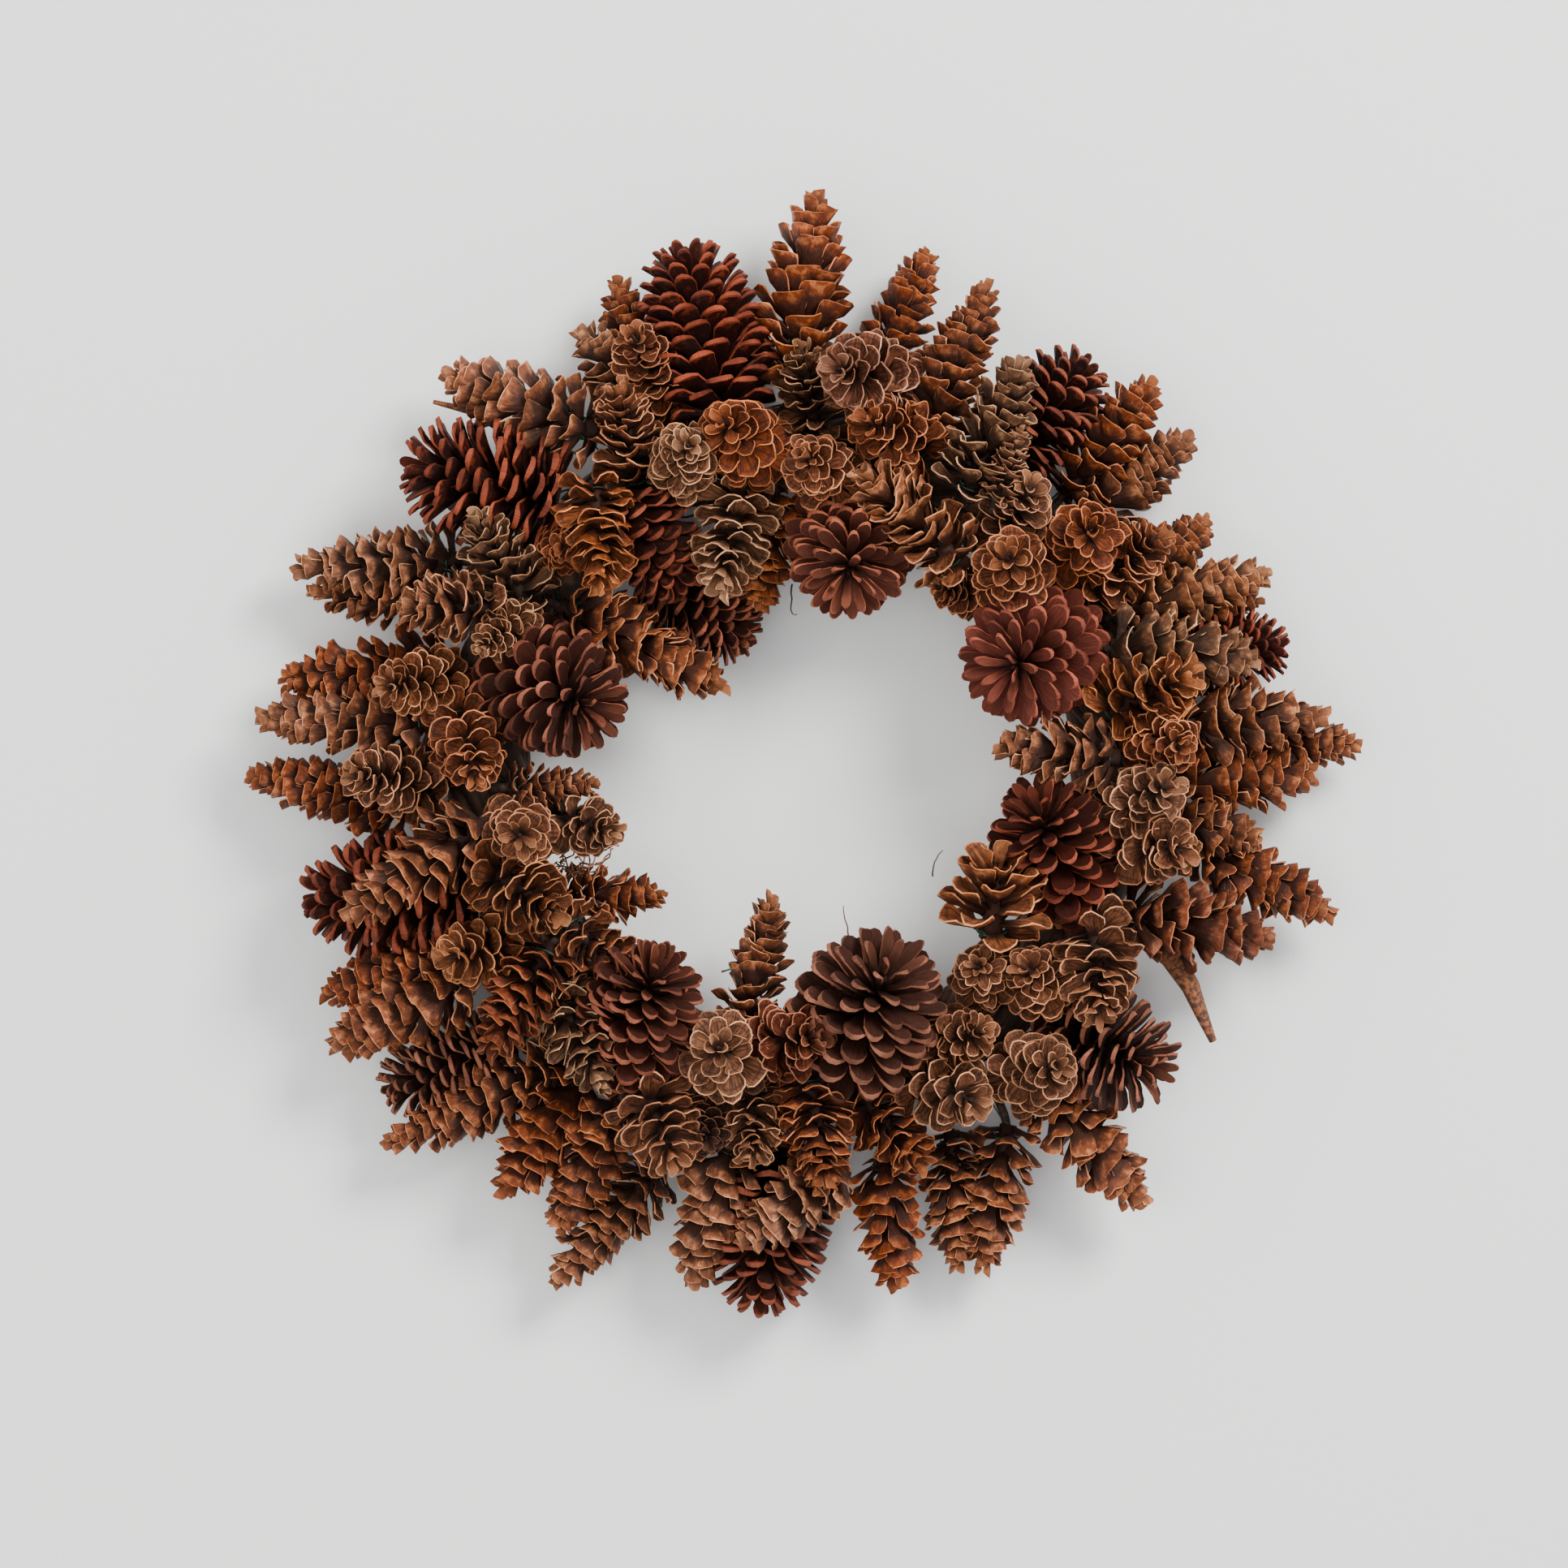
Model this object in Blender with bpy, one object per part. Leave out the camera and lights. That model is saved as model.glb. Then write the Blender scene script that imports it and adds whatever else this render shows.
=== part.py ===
"""A wreath of open pine cones, bound with wire on a ring of vine and hung by a wire loop.

Lengths are in millimetres until a mesh is made. The wall is the plane y = 0 and the wreath
faces -Y, so a height off the wall is measured along -Y. The frame's origin is the top of the
hanging loop's eye, where the nail bears.
"""

import itertools
import math

import bmesh
import bpy
import numpy as np
from mathutils.bvhtree import BVHTree

MM = 0.001
HANG_DROP = 212.0  # from the nail down to the wreath's centre

# Ring of twisted vine
RING_RADIUS = 165.0
VINE_RADIUS = 24.0
VINE_HEIGHT = 28.0  # of the vine's own centre off the wall
RING_STEPS = 32
VINE_SIDES = 8

# Binding wire, wound round the vine
BINDING_RADIUS = 0.6
BINDING_CLEARANCE = 0.8
BINDING_TURNS = 9
BINDING_START = 94.0  # degrees round the ring, just past the hanging loop
BINDING_SWEEP = 352.0
STEPS_PER_TURN = VINE_SIDES

# Hanging loop, of stouter wire
LOOP_RADIUS = 0.8
EYE_RADIUS = 6.8
EYE_OPENING = 25.0  # degrees, each side of the neck
EYE_STEPS = 10
LEG_SPREAD = 1.7
LOOP_HEIGHT = 2.2
NECK_TOP = 197.5  # above the wreath's centre

# Spaces between neighbours
TOUCH_GAP = 0.3
CONE_TO_VINE = 2.4  # the binding wire lies in it
LOOP_SPACE = 9.0
WALL_SPACE = 0.6

# How the cones settle against each other
SETTLE_ROUNDS = 300
ROUND_SHARE = 0.25  # share of an overlap that one round takes up
NESTING = 0.70  # share of the two radii that is left between two axes
MATE_NESTING = 0.56  # the same in one bunch, whose cones are drawn together
MATE_PULL = 0.12
VINE_NESTING = 0.55
SIDEWAYS = 0.35  # cones give way outwards and inwards more than sideways
PULL_BACK_SIDE = 0.04
PULL_BACK_HEIGHT = 0.006
WALL_SHARE = 0.80  # share of its radius that a cone keeps off the wall
ROOT_SHARE = 0.45  # a cone's radius at its two ends, then how fast it grows from them
GROWTH_AT_ROOT = 1.7
GROWTH_AT_TIP = 2.2
AXIS_SAMPLES = 7
LEAST_DISTANCE = 0.5
SMALLEST = 1e-6

# Cones: petals in a whorl, then each whorl's place along the axis and its radius
SLIM_PETALS = 5
SLIM_WHORLS = ((0.20, 0.90), (0.44, 1.00), (0.68, 0.95), (0.91, 0.68))
SMALL_WIDTH = 36.5
SMALL_WHORLS = ((0.26, 0.92), (0.57, 1.00), (0.88, 0.72))
BROAD_PETALS = 6
BROAD_WHORLS = ((0.20, 0.90), (0.45, 1.00), (0.70, 0.94), (0.92, 0.62))
BASE_SHARE = 0.42
VALLEY_SHARE = 0.80
NOTCH_SHARE = 0.54
NOTCH_STEP = 0.03
RAGGED = 0.06
MATE_DEPTH = 0.25  # how near a mate's axis the scale that meets it comes, in its radii
MATE_OFFSET_COST = 2.0  # of a whorl that lies ahead of its mate or behind it
MATE_SPAN = (0.10, 0.90)  # the stretch of the mate's axis that it may meet
STALK_RADIUS = 2.6  # of a cone's woody stalk
STALK_SIDES = 4
STALK_START = 0.12  # share of the cone's axis where its stalk begins
LONGEST_STALK = 46.0
SEAT_GAP = 0.45
SEAT_SHIFTS = (0, 2, -2, 4, -4, 6, -6, 9, -9, 12, -12, 15, -15)  # degrees round the ring
SEAT_SLIDES = (0.0, 9.0, -9.0, 18.0, -18.0)  # outwards across the vine
SLANT = (0.31, 0.17, 0.94)  # a direction that no stalk takes
WIDE_ANGLE_COSINE = 0.75
SEED = 7

# Each cone: its root and its tip as (right, up, off the wall) from the wreath's centre,
# its width, and its colour. Bunches run clockwise from the top.
SLIM_BUNCHES = (
    (((-4, 191, 52), (10, 305, 48), 48, "brown"), ((9, 168, 62), (2, 220, 100), 36, "grey")),
    (((36, 196, 30), (71, 274, 28), 34, "brown"), ((50, 196, 55), (15, 205, 115), 45, "rose")),
    (((69, 185, 58), (102, 257, 45), 37, "brown"), ((62, 157, 58), (31, 178, 115), 40, "brown")),
    (((19, 144, 62), (-1, 160, 128), 37, "brown"), ((86, 112, 72), (31, 154, 120), 43, "pale")),
    (((87, 145, 72), (120, 213, 100), 41, "grey"), ((103, 131, 95), (118, 177, 112), 20, "brown"),
     ((110, 110, 62), (125, 145, 118), 37, "brown")),
    (((135, 144, 45), (189, 201, 42), 41, "brown"), ((150, 118, 38), (209, 172, 32), 36, "brown")),
    (((145, 112, 55), (153, 121, 122), 43, "brown"), ((150, 85, 60), (194, 121, 92), 38, "brown")),
    (((120, 92, 60), (108, 107, 130), 45, "brown"), ((96, 83, 50), (68, 91, 95), 26, "brown")),
    (((165, 92, 30), (218, 128, 26), 32, "brown"), ((163, 73, 55), (253, 100, 48), 36, "golden"),
     ((185, 72, 30), (246, 86, 28), 34, "brown")),
    (((163, 58, 78), (243, 53, 72), 41, "grey"), ((161, 24, 70), (207, 46, 112), 45, "golden")),
    (((188, 20, 50), (283, 21, 46), 40, "brown"), ((178, 13, 62), (202, 5, 125), 37, "brown")),
    (((192, -14, 48), (277, -11, 40), 38, "brown"), ((215, 16, 28), (303, 6, 26), 34, "brown")),
    (((168, -28, 62), (196, -11, 122), 39, "brown"), ((166, -60, 65), (205, -49, 118), 41, "brown"),
     ((168, -4, 85), (100, -1, 95), 37, "brown")),
    (((205, -44, 42), (287, -86, 36), 36, "brown"), ((185, -28, 55), (244, -43, 58), 34, "brown")),
    (((150, -84, 70), (156, -141, 115), 45, "brown"), ((176, -80, 60), (252, -96, 55), 42, "red")),
    (((97, -86, 55), (104, -48, 105), 52, "golden"), ((98, -120, 50), (90, -110, 112), 34, "brown"),
     ((131, -124, 55), (120, -109, 118), 37, "brown")),
    (((114, -166, 60), (136, -160, 120), 41, "brown"), ((127, -170, 45), (184, -240, 40), 40, "brown")),
    (((67, -147, 60), (101, -141, 112), 34, "brown"), ((60, -172, 48), (95, -181, 100), 44, "brown")),
    (((110, -193, 38), (99, -275, 34), 36, "brown"), ((80, -196, 32), (80, -274, 30), 34, "brown")),
    (((31, -173, 62), (67, -216, 92), 38, "brown"), ((43, -209, 36), (51, -285, 32), 34, "brown")),
    (((6, -166, 70), (13, -230, 98), 40, "brown"), ((24, -212, 70), (-35, -258, 68), 37, "brown")),
    (((-42, -168, 55), (-44, -150, 118), 46, "brown"), ((-22, -150, 62), (15, -144, 118), 40, "rose"),
     ((-26, -135, 45), (-13, -68, 60), 32, "brown")),
    (((-24, -172, 60), (-23, -212, 100), 33, "brown"), ((-36, -200, 38), (-59, -283, 36), 38, "brown")),
    (((-84, -172, 62), (-68, -215, 112), 46, "brown"), ((-45, -185, 45), (-45, -200, 92), 30, "dark")),
    (((-94, -180, 52), (-133, -251, 46), 37, "brown"), ((-72, -215, 28), (-132, -283, 26), 34, "brown")),
    (((-127, -157, 42), (-228, -209, 34), 36, "brown"), ((-108, -168, 48), (-158, -232, 42), 41, "brown")),
    (((-146, -114, 60), (-165, -158, 100), 40, "red"),
     ((-127, -120, 72), (-100, -175, 95), 37, "grey")),
    (((-148, -97, 62), (-187, -105, 112), 40, "golden"), ((-172, -115, 50), (-250, -154, 42), 41, "brown"),
     ((-185, -100, 30), (-256, -126, 28), 34, "brown")),
    (((-123, -80, 60), (-84, -108, 92), 35, "brown"), ((-130, -72, 45), (-67, -72, 55), 30, "brown")),
    (((-166, -28, 88), (-244, -85, 84), 41, "brown"), ((-160, -63, 70), (-123, -83, 118), 43, "grey")),
    (((-154, -11, 88), (-102, -10, 92), 22, "brown"), ((-145, -38, 58), (-138, -37, 125), 40, "brown"),
     ((-127, -30, 52), (-95, -41, 100), 35, "brown")),
    (((-205, -28, 34), (-299, -6, 30), 35, "brown"), ((-191, -13, 60), (-240, -7, 100), 38, "brown")),
    (((-194, 18, 42), (-292, 22, 36), 38, "brown"), ((-176, 24, 65), (-168, -13, 118), 39, "brown")),
    (((-183, 47, 55), (-281, 43, 48), 37, "brown"), ((-191, 32, 28), (-277, 29, 26), 34, "brown"),
     ((-178, 44, 72), (-221, 38, 112), 36, "pale")),
    (((-178, 105, 44), (-274, 101, 38), 37, "brown"), ((-183, 84, 30), (-263, 88, 28), 34, "brown")),
    (((-143, 80, 65), (-171, 130, 95), 38, "grey"), ((-157, 80, 68), (-212, 80, 100), 38, "brown"),
     ((-143, 72, 85), (-169, 56, 118), 26, "pale")),
    (((-126, 80, 64), (-32, 34, 75), 40, "brown"),),
    (((-106, 144, 78), (-100, 87, 110), 40, "golden"), ((-128, 112, 55), (-125, 109, 108), 26, "brown")),
    (((-84, 142, 62), (-95, 200, 100), 38, "brown"), ((-107, 172, 50), (-194, 205, 44), 43, "brown")),
    (((-65, 183, 55), (-90, 227, 110), 38, "brown"), ((-76, 184, 36), (-97, 257, 32), 35, "brown"),
     ((-72, 180, 58), (-118, 230, 52), 34, "brown")),
    (((-63, 150, 60), (-65, 160, 128), 36, "pale"), ((-24, 161, 58), (-35, 183, 125), 43, "brown")),
    (((-37, 144, 70), (-43, 84, 105), 42, "pale"), ((-7, 142, 45), (-21, 73, 45), 32, "golden")),
)
BROAD_BUNCHES = (
    (((-45, 178, 55), (-64, 273, 42), 65, "dark"),),
    (((28, 130, 45), (25, 88, 115), 69, "dark"),),
    (((110, 161, 55), (153, 209, 40), 56, "dark"),),
    (((133, 62, 52), (106, 44, 118), 72, "dark"),),
    (((190, 58, 38), (260, 58, 30), 46, "dark"),),
    (((140, -67, 58), (122, -20, 105), 68, "dark"),),
    (((135, -140, 45), (191, -166, 75), 65, "dark"),),
    (((24, -153, 70), (49, -105, 120), 78, "dark"),),
    (((-11, -205, 40), (-22, -303, 38), 66, "dark"),),
    (((-92, -153, 55), (-73, -103, 100), 66, "dark"),),
    (((-150, -150, 30), (-224, -178, 28), 50, "dark"),),
    (((-170, -67, 60), (-262, -75, 50), 68, "dark"),),
    (((-148, 45, 60), (-103, 24, 110), 70, "dark"),),
    (((-127, 135, 58), (-209, 157, 62), 66, "dark"),),
    (((-95, 140, 62), (-60, 88, 66), 52, "dark"), ((-80, 98, 30), (-24, 60, 38), 50, "dark")),
)

# Colours and roughness
CONE_ROUGHNESS = 0.70
VINE_ROUGHNESS = 0.85
BINDING_FINISH = (0.50, 0.60)  # roughness, then how metallic
LOOP_FINISH = (0.40, 0.90)
SLIM_COLOURS = {
    "brown": (0.30, 0.16, 0.08),
    "golden": (0.40, 0.22, 0.09),
    "grey": (0.28, 0.21, 0.15),
    "rose": (0.42, 0.25, 0.17),
    "pale": (0.45, 0.32, 0.22),
    "red": (0.32, 0.13, 0.07),
    "dark": (0.14, 0.08, 0.05),
}
BROAD_COLOUR = (0.13, 0.05, 0.03)
VINE_COLOUR = (0.16, 0.09, 0.05)
BINDING_COLOUR = (0.03, 0.07, 0.04)
LOOP_COLOUR = (0.20, 0.20, 0.19)


def clear_scene():
    for obj in list(bpy.data.objects):
        bpy.data.objects.remove(obj, do_unlink=True)


def parts_collection():
    collection = bpy.data.collections.new("pinecone_wreath")
    bpy.context.scene.collection.children.link(collection)
    return collection


def material(name, colour, roughness, metallic=0.0):
    made = bpy.data.materials.new(name)
    made.use_nodes = True
    shader = made.node_tree.nodes["Principled BSDF"]
    shader.inputs["Base Color"].default_value = (*colour, 1.0)
    shader.inputs["Roughness"].default_value = roughness
    shader.inputs["Metallic"].default_value = metallic
    return made


def world(points):
    """Places measured from the wreath's centre as (right, up, off the wall), in the frame."""
    points = np.asarray(points, dtype=float)
    return np.stack((points[..., 0], -points[..., 2], points[..., 1] - HANG_DROP), axis=-1) * MM


def unit(vectors):
    return vectors / np.linalg.norm(vectors, axis=-1, keepdims=True)


def nearest_shares(start_a, end_a, start_b, end_b):
    """How far along two straight axes, from 0 to 1, their nearest points lie."""
    run_a = end_a - start_a
    run_b = end_b - start_b
    apart = start_a - start_b
    aa = np.sum(run_a * run_a, axis=-1)
    bb = np.sum(run_b * run_b, axis=-1)
    ab = np.sum(run_a * run_b, axis=-1)
    a_apart = np.sum(run_a * apart, axis=-1)
    b_apart = np.sum(run_b * apart, axis=-1)
    parallel_guard = np.maximum(aa * bb - ab * ab, SMALLEST)
    share_a = np.clip((ab * b_apart - a_apart * bb) / parallel_guard, 0.0, 1.0)
    share_b = np.clip((ab * share_a + b_apart) / bb, 0.0, 1.0)
    share_a = np.clip((ab * share_b - a_apart) / aa, 0.0, 1.0)
    return share_a, share_b


def girth(share):
    """A cone's radius along its axis, as a share of its widest."""
    towards_root = np.clip(ROOT_SHARE + GROWTH_AT_ROOT * share, 0.0, 1.0)
    towards_tip = np.clip(ROOT_SHARE + GROWTH_AT_TIP * (1.0 - share), 0.0, 1.0)
    return np.minimum(towards_root, towards_tip)


def settle(roots, tips, radii, bunch_of):
    """Lets crowded cones give way to each other, to the vine and to the wall."""
    first_roots, first_tips = roots.copy(), tips.copy()
    one, other = np.triu_indices(len(radii), 1)
    mates = bunch_of[one] == bunch_of[other]
    nesting = np.where(mates, MATE_NESTING, NESTING)
    ease = np.array((SIDEWAYS, SIDEWAYS, 1.0))
    samples = np.linspace(0.0, 1.0, AXIS_SAMPLES)
    for _ in range(SETTLE_ROUNDS):
        move_root = np.zeros_like(roots)
        move_tip = np.zeros_like(tips)
        share_a, share_b = nearest_shares(roots[one], tips[one], roots[other], tips[other])
        near_a = roots[one] + share_a[:, None] * (tips[one] - roots[one])
        near_b = roots[other] + share_b[:, None] * (tips[other] - roots[other])
        between = near_b - near_a
        distance = np.linalg.norm(between, axis=1)
        wanted = nesting * (radii[one] * girth(share_a) + radii[other] * girth(share_b))
        short = wanted - distance
        pulled = mates & (short < 0.0)
        push = np.where(pulled, short * MATE_PULL, np.maximum(short, 0.0) * ROUND_SHARE)
        direction = between / np.maximum(distance, LEAST_DISTANCE)[:, None] * ease
        shift = direction * push[:, None]
        np.add.at(move_root, one, -shift * (1.0 - share_a)[:, None])
        np.add.at(move_tip, one, -shift * share_a[:, None])
        np.add.at(move_root, other, shift * (1.0 - share_b)[:, None])
        np.add.at(move_tip, other, shift * share_b[:, None])
        for share in samples:
            place = roots + share * (tips - roots)
            reach = np.hypot(place[:, 0], place[:, 1])
            across = reach - RING_RADIUS
            above = place[:, 2] - VINE_HEIGHT
            off_vine = np.maximum(np.hypot(across, above), LEAST_DISTANCE)
            wanted = VINE_RADIUS + CONE_TO_VINE + VINE_NESTING * radii * girth(share)
            push = np.maximum(wanted - off_vine, 0.0) * ROUND_SHARE
            outward = place[:, :2] / np.maximum(reach, LEAST_DISTANCE)[:, None]
            shift = np.concatenate(
                (outward * (across / off_vine * push)[:, None], (above / off_vine * push)[:, None]),
                axis=1,
            )
            lowest = WALL_SHARE * radii * girth(share) + WALL_SPACE
            shift[:, 2] += np.maximum(lowest - place[:, 2], 0.0) * ROUND_SHARE
            move_root += shift * (1.0 - share)
            move_tip += shift * share
        back = np.array((PULL_BACK_SIDE, PULL_BACK_SIDE, PULL_BACK_HEIGHT))
        roots = roots + move_root + (first_roots - roots) * back
        tips = tips + move_tip + (first_tips - tips) * back
    return roots, tips


def obstacle_axes():
    """The vine as short straight lengths and the hanging loop as one, with their radii."""
    turn = np.linspace(0.0, 2.0 * math.pi, RING_STEPS + 1)
    centres = np.stack(
        (RING_RADIUS * np.cos(turn), RING_RADIUS * np.sin(turn), np.full(len(turn), VINE_HEIGHT)),
        axis=1,
    )
    starts = np.vstack((centres[:-1], (0.0, RING_RADIUS, LOOP_HEIGHT)))
    ends = np.vstack((centres[1:], (0.0, HANG_DROP, LOOP_HEIGHT)))
    spaces = np.full(RING_STEPS + 1, VINE_RADIUS + CONE_TO_VINE)
    spaces[-1] = LOOP_SPACE
    return starts, ends, spaces


def clear_of_cones(index, roots, tips, radii, bunch_of):
    """The planes between a cone and those of other bunches: outward directions and distances."""
    apart = [k for k in range(len(radii)) if bunch_of[k] != bunch_of[index]]
    share_a, share_b = nearest_shares(roots[index], tips[index], roots[apart], tips[apart])
    near_a = roots[index] + share_a[:, None] * (tips[index] - roots[index])
    near_b = roots[apart] + share_b[:, None] * (tips[apart] - roots[apart])
    own = radii[index] * girth(share_a)
    theirs = radii[apart] * girth(share_b)
    outward = unit(near_b - near_a)
    border = near_a + (near_b - near_a) * (own / (own + theirs))[:, None]
    limits = np.sum(outward * border, axis=1) - TOUCH_GAP / 2.0
    return outward, limits


def clear_of_vine(index, roots, tips):
    """The planes that keep a cone off the vine, the hanging loop and the wall."""
    starts, ends, spaces = obstacle_axes()
    share_a, share_b = nearest_shares(roots[index], tips[index], starts, ends)
    near_a = roots[index] + share_a[:, None] * (tips[index] - roots[index])
    near_b = starts + share_b[:, None] * (ends - starts)
    towards = unit(near_b - near_a)
    stops = np.sum(towards * near_b, axis=1) - spaces

    wall = np.array(((0.0, 0.0, -1.0),))
    return np.vstack((towards, wall)), np.concatenate((stops, (-WALL_SPACE,)))


def join_planes(one, other):
    return np.vstack((one[0], other[0])), np.concatenate((one[1], other[1]))


def ring_radii(petals, share, turned, raggedness):
    """A whorl seen along the axis: petal tips with valleys between them."""
    reach = np.full(2 * petals, share * VALLEY_SHARE)
    reach[turned::2] = share * (1.0 + raggedness)
    return reach


def join_wide_to_narrow(mesh, wide, narrow, turned, outward):
    """Triangles between a whorl's edge and the notch beside it, which has half as many corners."""
    petals = len(narrow)
    for k in range(petals):
        at = 2 * k + turned
        before = wide[(at - 1) % (2 * petals)]
        middle = wide[at % (2 * petals)]
        after = wide[(at + 1) % (2 * petals)]
        following = narrow[(k + 1) % petals]
        for first, second in ((middle, before), (after, middle), (following, after)):
            corners = (narrow[k], first, second)
            mesh.faces.new(corners if outward else corners[::-1])


def towards_mate(index, roots, tips, radii, bunch_of, whorls):
    """The whorl that comes nearest to a bunch mate, the way to it and how far its scale reaches."""
    axis = tips[index] - roots[index]
    best = (math.inf, 0, np.array((0.0, 0.0, 1.0)), 0.0)
    for mate in np.flatnonzero(bunch_of == bunch_of[index]):
        if mate == index:
            continue
        mate_axis = tips[mate] - roots[mate]
        for level, (share, _) in enumerate(whorls):
            centre = roots[index] + axis * share
            mate_share = np.dot(centre - roots[mate], mate_axis) / np.dot(mate_axis, mate_axis)
            way = roots[mate] + mate_axis * np.clip(mate_share, *MATE_SPAN) - centre
            along = np.dot(way, unit(axis)) * unit(axis)
            cost = np.linalg.norm(way) + MATE_OFFSET_COST * np.linalg.norm(along)
            if cost < best[0]:
                reach = np.linalg.norm(way - along) - MATE_DEPTH * radii[mate]
                best = (cost, level, way - along, reach)
    return best[1:]


def cone_mesh(name, root, tip, radius, petals, whorls, space, mate, draws):
    """One cone: whorls of scales raised from its core, each corner kept inside its own space."""
    axis = tip - root
    along = unit(axis)
    mate_level, mate_way, mate_reach = mate
    up = unit(np.cross(along, mate_way))
    side = np.cross(up, along)
    outward, limits = space
    first_angle = -(mate_level % 2)

    def ring(mesh, share, reaches, first_corner, corner_step):
        place = root + axis * share
        made = []
        for k, reach in enumerate(reaches):
            angle = math.pi * (first_angle + first_corner + k * corner_step) / petals
            direction = side * math.cos(angle) + up * math.sin(angle)
            slack = limits - outward @ place
            closing = outward @ direction
            facing = closing > SMALLEST
            room = np.min(slack[facing] / closing[facing], initial=math.inf)
            made.append(mesh.verts.new(world(place + direction * min(reach * radius, room))))
        return made

    mesh = bmesh.new()
    base = ring(mesh, 0.0, [BASE_SHARE] * petals, 0, 2)
    mesh.faces.new(base[::-1])
    narrow = base
    narrow_turned = 0
    for level, (share, reach) in enumerate(whorls):
        turned = level % 2
        raggedness = draws.uniform(-RAGGED, RAGGED, petals)
        reaches = ring_radii(petals, reach, turned, raggedness)
        if level == mate_level:
            reaches[turned] = max(reaches[turned], mate_reach / radius)
        wide = ring(mesh, share, reaches, 0, 1)
        join_wide_to_narrow(mesh, wide, narrow, narrow_turned, False)
        if level == len(whorls) - 1:
            break
        narrow_turned = turned
        narrow = ring(mesh, share + NOTCH_STEP, [reach * NOTCH_SHARE] * petals, turned, 2)
        join_wide_to_narrow(mesh, wide, narrow, narrow_turned, True)
    point = mesh.verts.new(world(tip))
    for k, corner in enumerate(wide):
        mesh.faces.new((corner, wide[(k + 1) % len(wide)], point))
    bmesh.ops.triangulate(mesh, faces=mesh.faces[:])
    bmesh.ops.recalc_face_normals(mesh, faces=mesh.faces[:])
    data = bpy.data.meshes.new(name)
    mesh.to_mesh(data)
    mesh.free()
    return data


def stalk_mesh(name, start, end, facing):
    """A stalk whose far end lies flat against what it meets, which faces the given way."""
    along = unit(end - start)
    side = unit(np.cross(along, SLANT))
    mesh = bmesh.new()
    rings = []
    for place, normal in ((start, along), (end, -facing)):
        level_side = unit(side - np.dot(side, normal) * normal)
        level_up = np.cross(normal, level_side)
        corners = []
        for k in range(STALK_SIDES):
            angle = 2.0 * math.pi * k / STALK_SIDES
            offset = level_side * math.cos(angle) + level_up * math.sin(angle)
            corners.append(mesh.verts.new(world(place + offset * STALK_RADIUS)))
        rings.append(corners)
    first, last = rings
    mesh.faces.new(first[::-1])
    mesh.faces.new(last)
    for k in range(STALK_SIDES):
        following = (k + 1) % STALK_SIDES
        mesh.faces.new((first[k], first[following], last[following], last[k]))
    bmesh.ops.triangulate(mesh, faces=mesh.faces[:])
    data = bpy.data.meshes.new(name)
    mesh.to_mesh(data)
    mesh.free()
    return data


def mate_stalks(name, members, roots, tips):
    """Short stalks between each cone and its nearest mate, where the two stand at a wide angle."""
    made = []
    for index in members[1:]:
        mates = [mate for mate in members if mate < index]
        share_a, share_b = nearest_shares(roots[index], tips[index], roots[mates], tips[mates])
        share_a, share_b = np.clip(share_a, *MATE_SPAN), np.clip(share_b, *MATE_SPAN)
        near_a = roots[index] + share_a[:, None] * (tips[index] - roots[index])
        near_b = roots[mates] + share_b[:, None] * (tips[mates] - roots[mates])
        pick = int(np.argmin(np.linalg.norm(near_b - near_a, axis=1)))
        along_a = unit(tips[index] - roots[index])
        along_b = unit(tips[mates[pick]] - roots[mates[pick]])
        if np.dot(along_a, along_b) > WIDE_ANGLE_COSINE:
            continue
        start, end = near_a[pick], near_b[pick]
        made.append(stalk_mesh(f"{name}_stalk_{len(made)}", start, end, unit(start - end)))
    return made


def vine_surface():
    """The vine's flat-sided surface, to find the nearest place on it."""
    corners = [
        round_the_vine(2.0 * math.pi * step / RING_STEPS, 2.0 * math.pi * side / VINE_SIDES, VINE_RADIUS)
        for step in range(RING_STEPS)
        for side in range(VINE_SIDES)
    ]
    faces = []
    for step in range(RING_STEPS):
        onward = (step + 1) % RING_STEPS
        for side in range(VINE_SIDES):
            after = (side + 1) % VINE_SIDES
            faces.append(
                (
                    step * VINE_SIDES + side,
                    onward * VINE_SIDES + side,
                    onward * VINE_SIDES + after,
                    step * VINE_SIDES + after,
                )
            )
    return BVHTree.FromPolygons(corners, faces)


def seat_on_vine(name, members, roots, tips, spaces, vine, wires):
    """The stalk that seats a bunch on the vine, from the member that reaches it most directly."""
    wire_starts, wire_ends, wire_radii = wires
    best = None
    for index in members:
        start = roots[index] + STALK_START * (tips[index] - roots[index])
        outward, limits = spaces[index]
        for shift, slide in itertools.product(SEAT_SHIFTS, SEAT_SLIDES):
            turn = math.atan2(roots[index][1], roots[index][0]) + math.radians(shift)
            reach = math.hypot(roots[index][0], roots[index][1]) + slide
            aim = np.array((reach * math.cos(turn), reach * math.sin(turn), roots[index][2]))
            landing, _, _, _ = vine.find_nearest(aim)
            landing = np.array(landing)
            normal = unit(aim - landing)
            end = landing + normal * SEAT_GAP
            length = np.linalg.norm(end - start)
            if length > LONGEST_STALK or (best and length >= best[0]):
                continue
            if np.any(outward @ end > limits - STALK_RADIUS):
                continue
            share_a, share_b = nearest_shares(start, end, wire_starts, wire_ends)
            near_a = start + share_a[:, None] * (end - start)
            near_b = wire_starts + share_b[:, None] * (wire_ends - wire_starts)
            room = np.linalg.norm(near_a - near_b, axis=1) - wire_radii - STALK_RADIUS
            if np.min(room) > TOUCH_GAP:
                best = (length, start, end, normal)
    if best is None:
        return []
    return [stalk_mesh(f"{name}_seat", *best[1:])]


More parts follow.
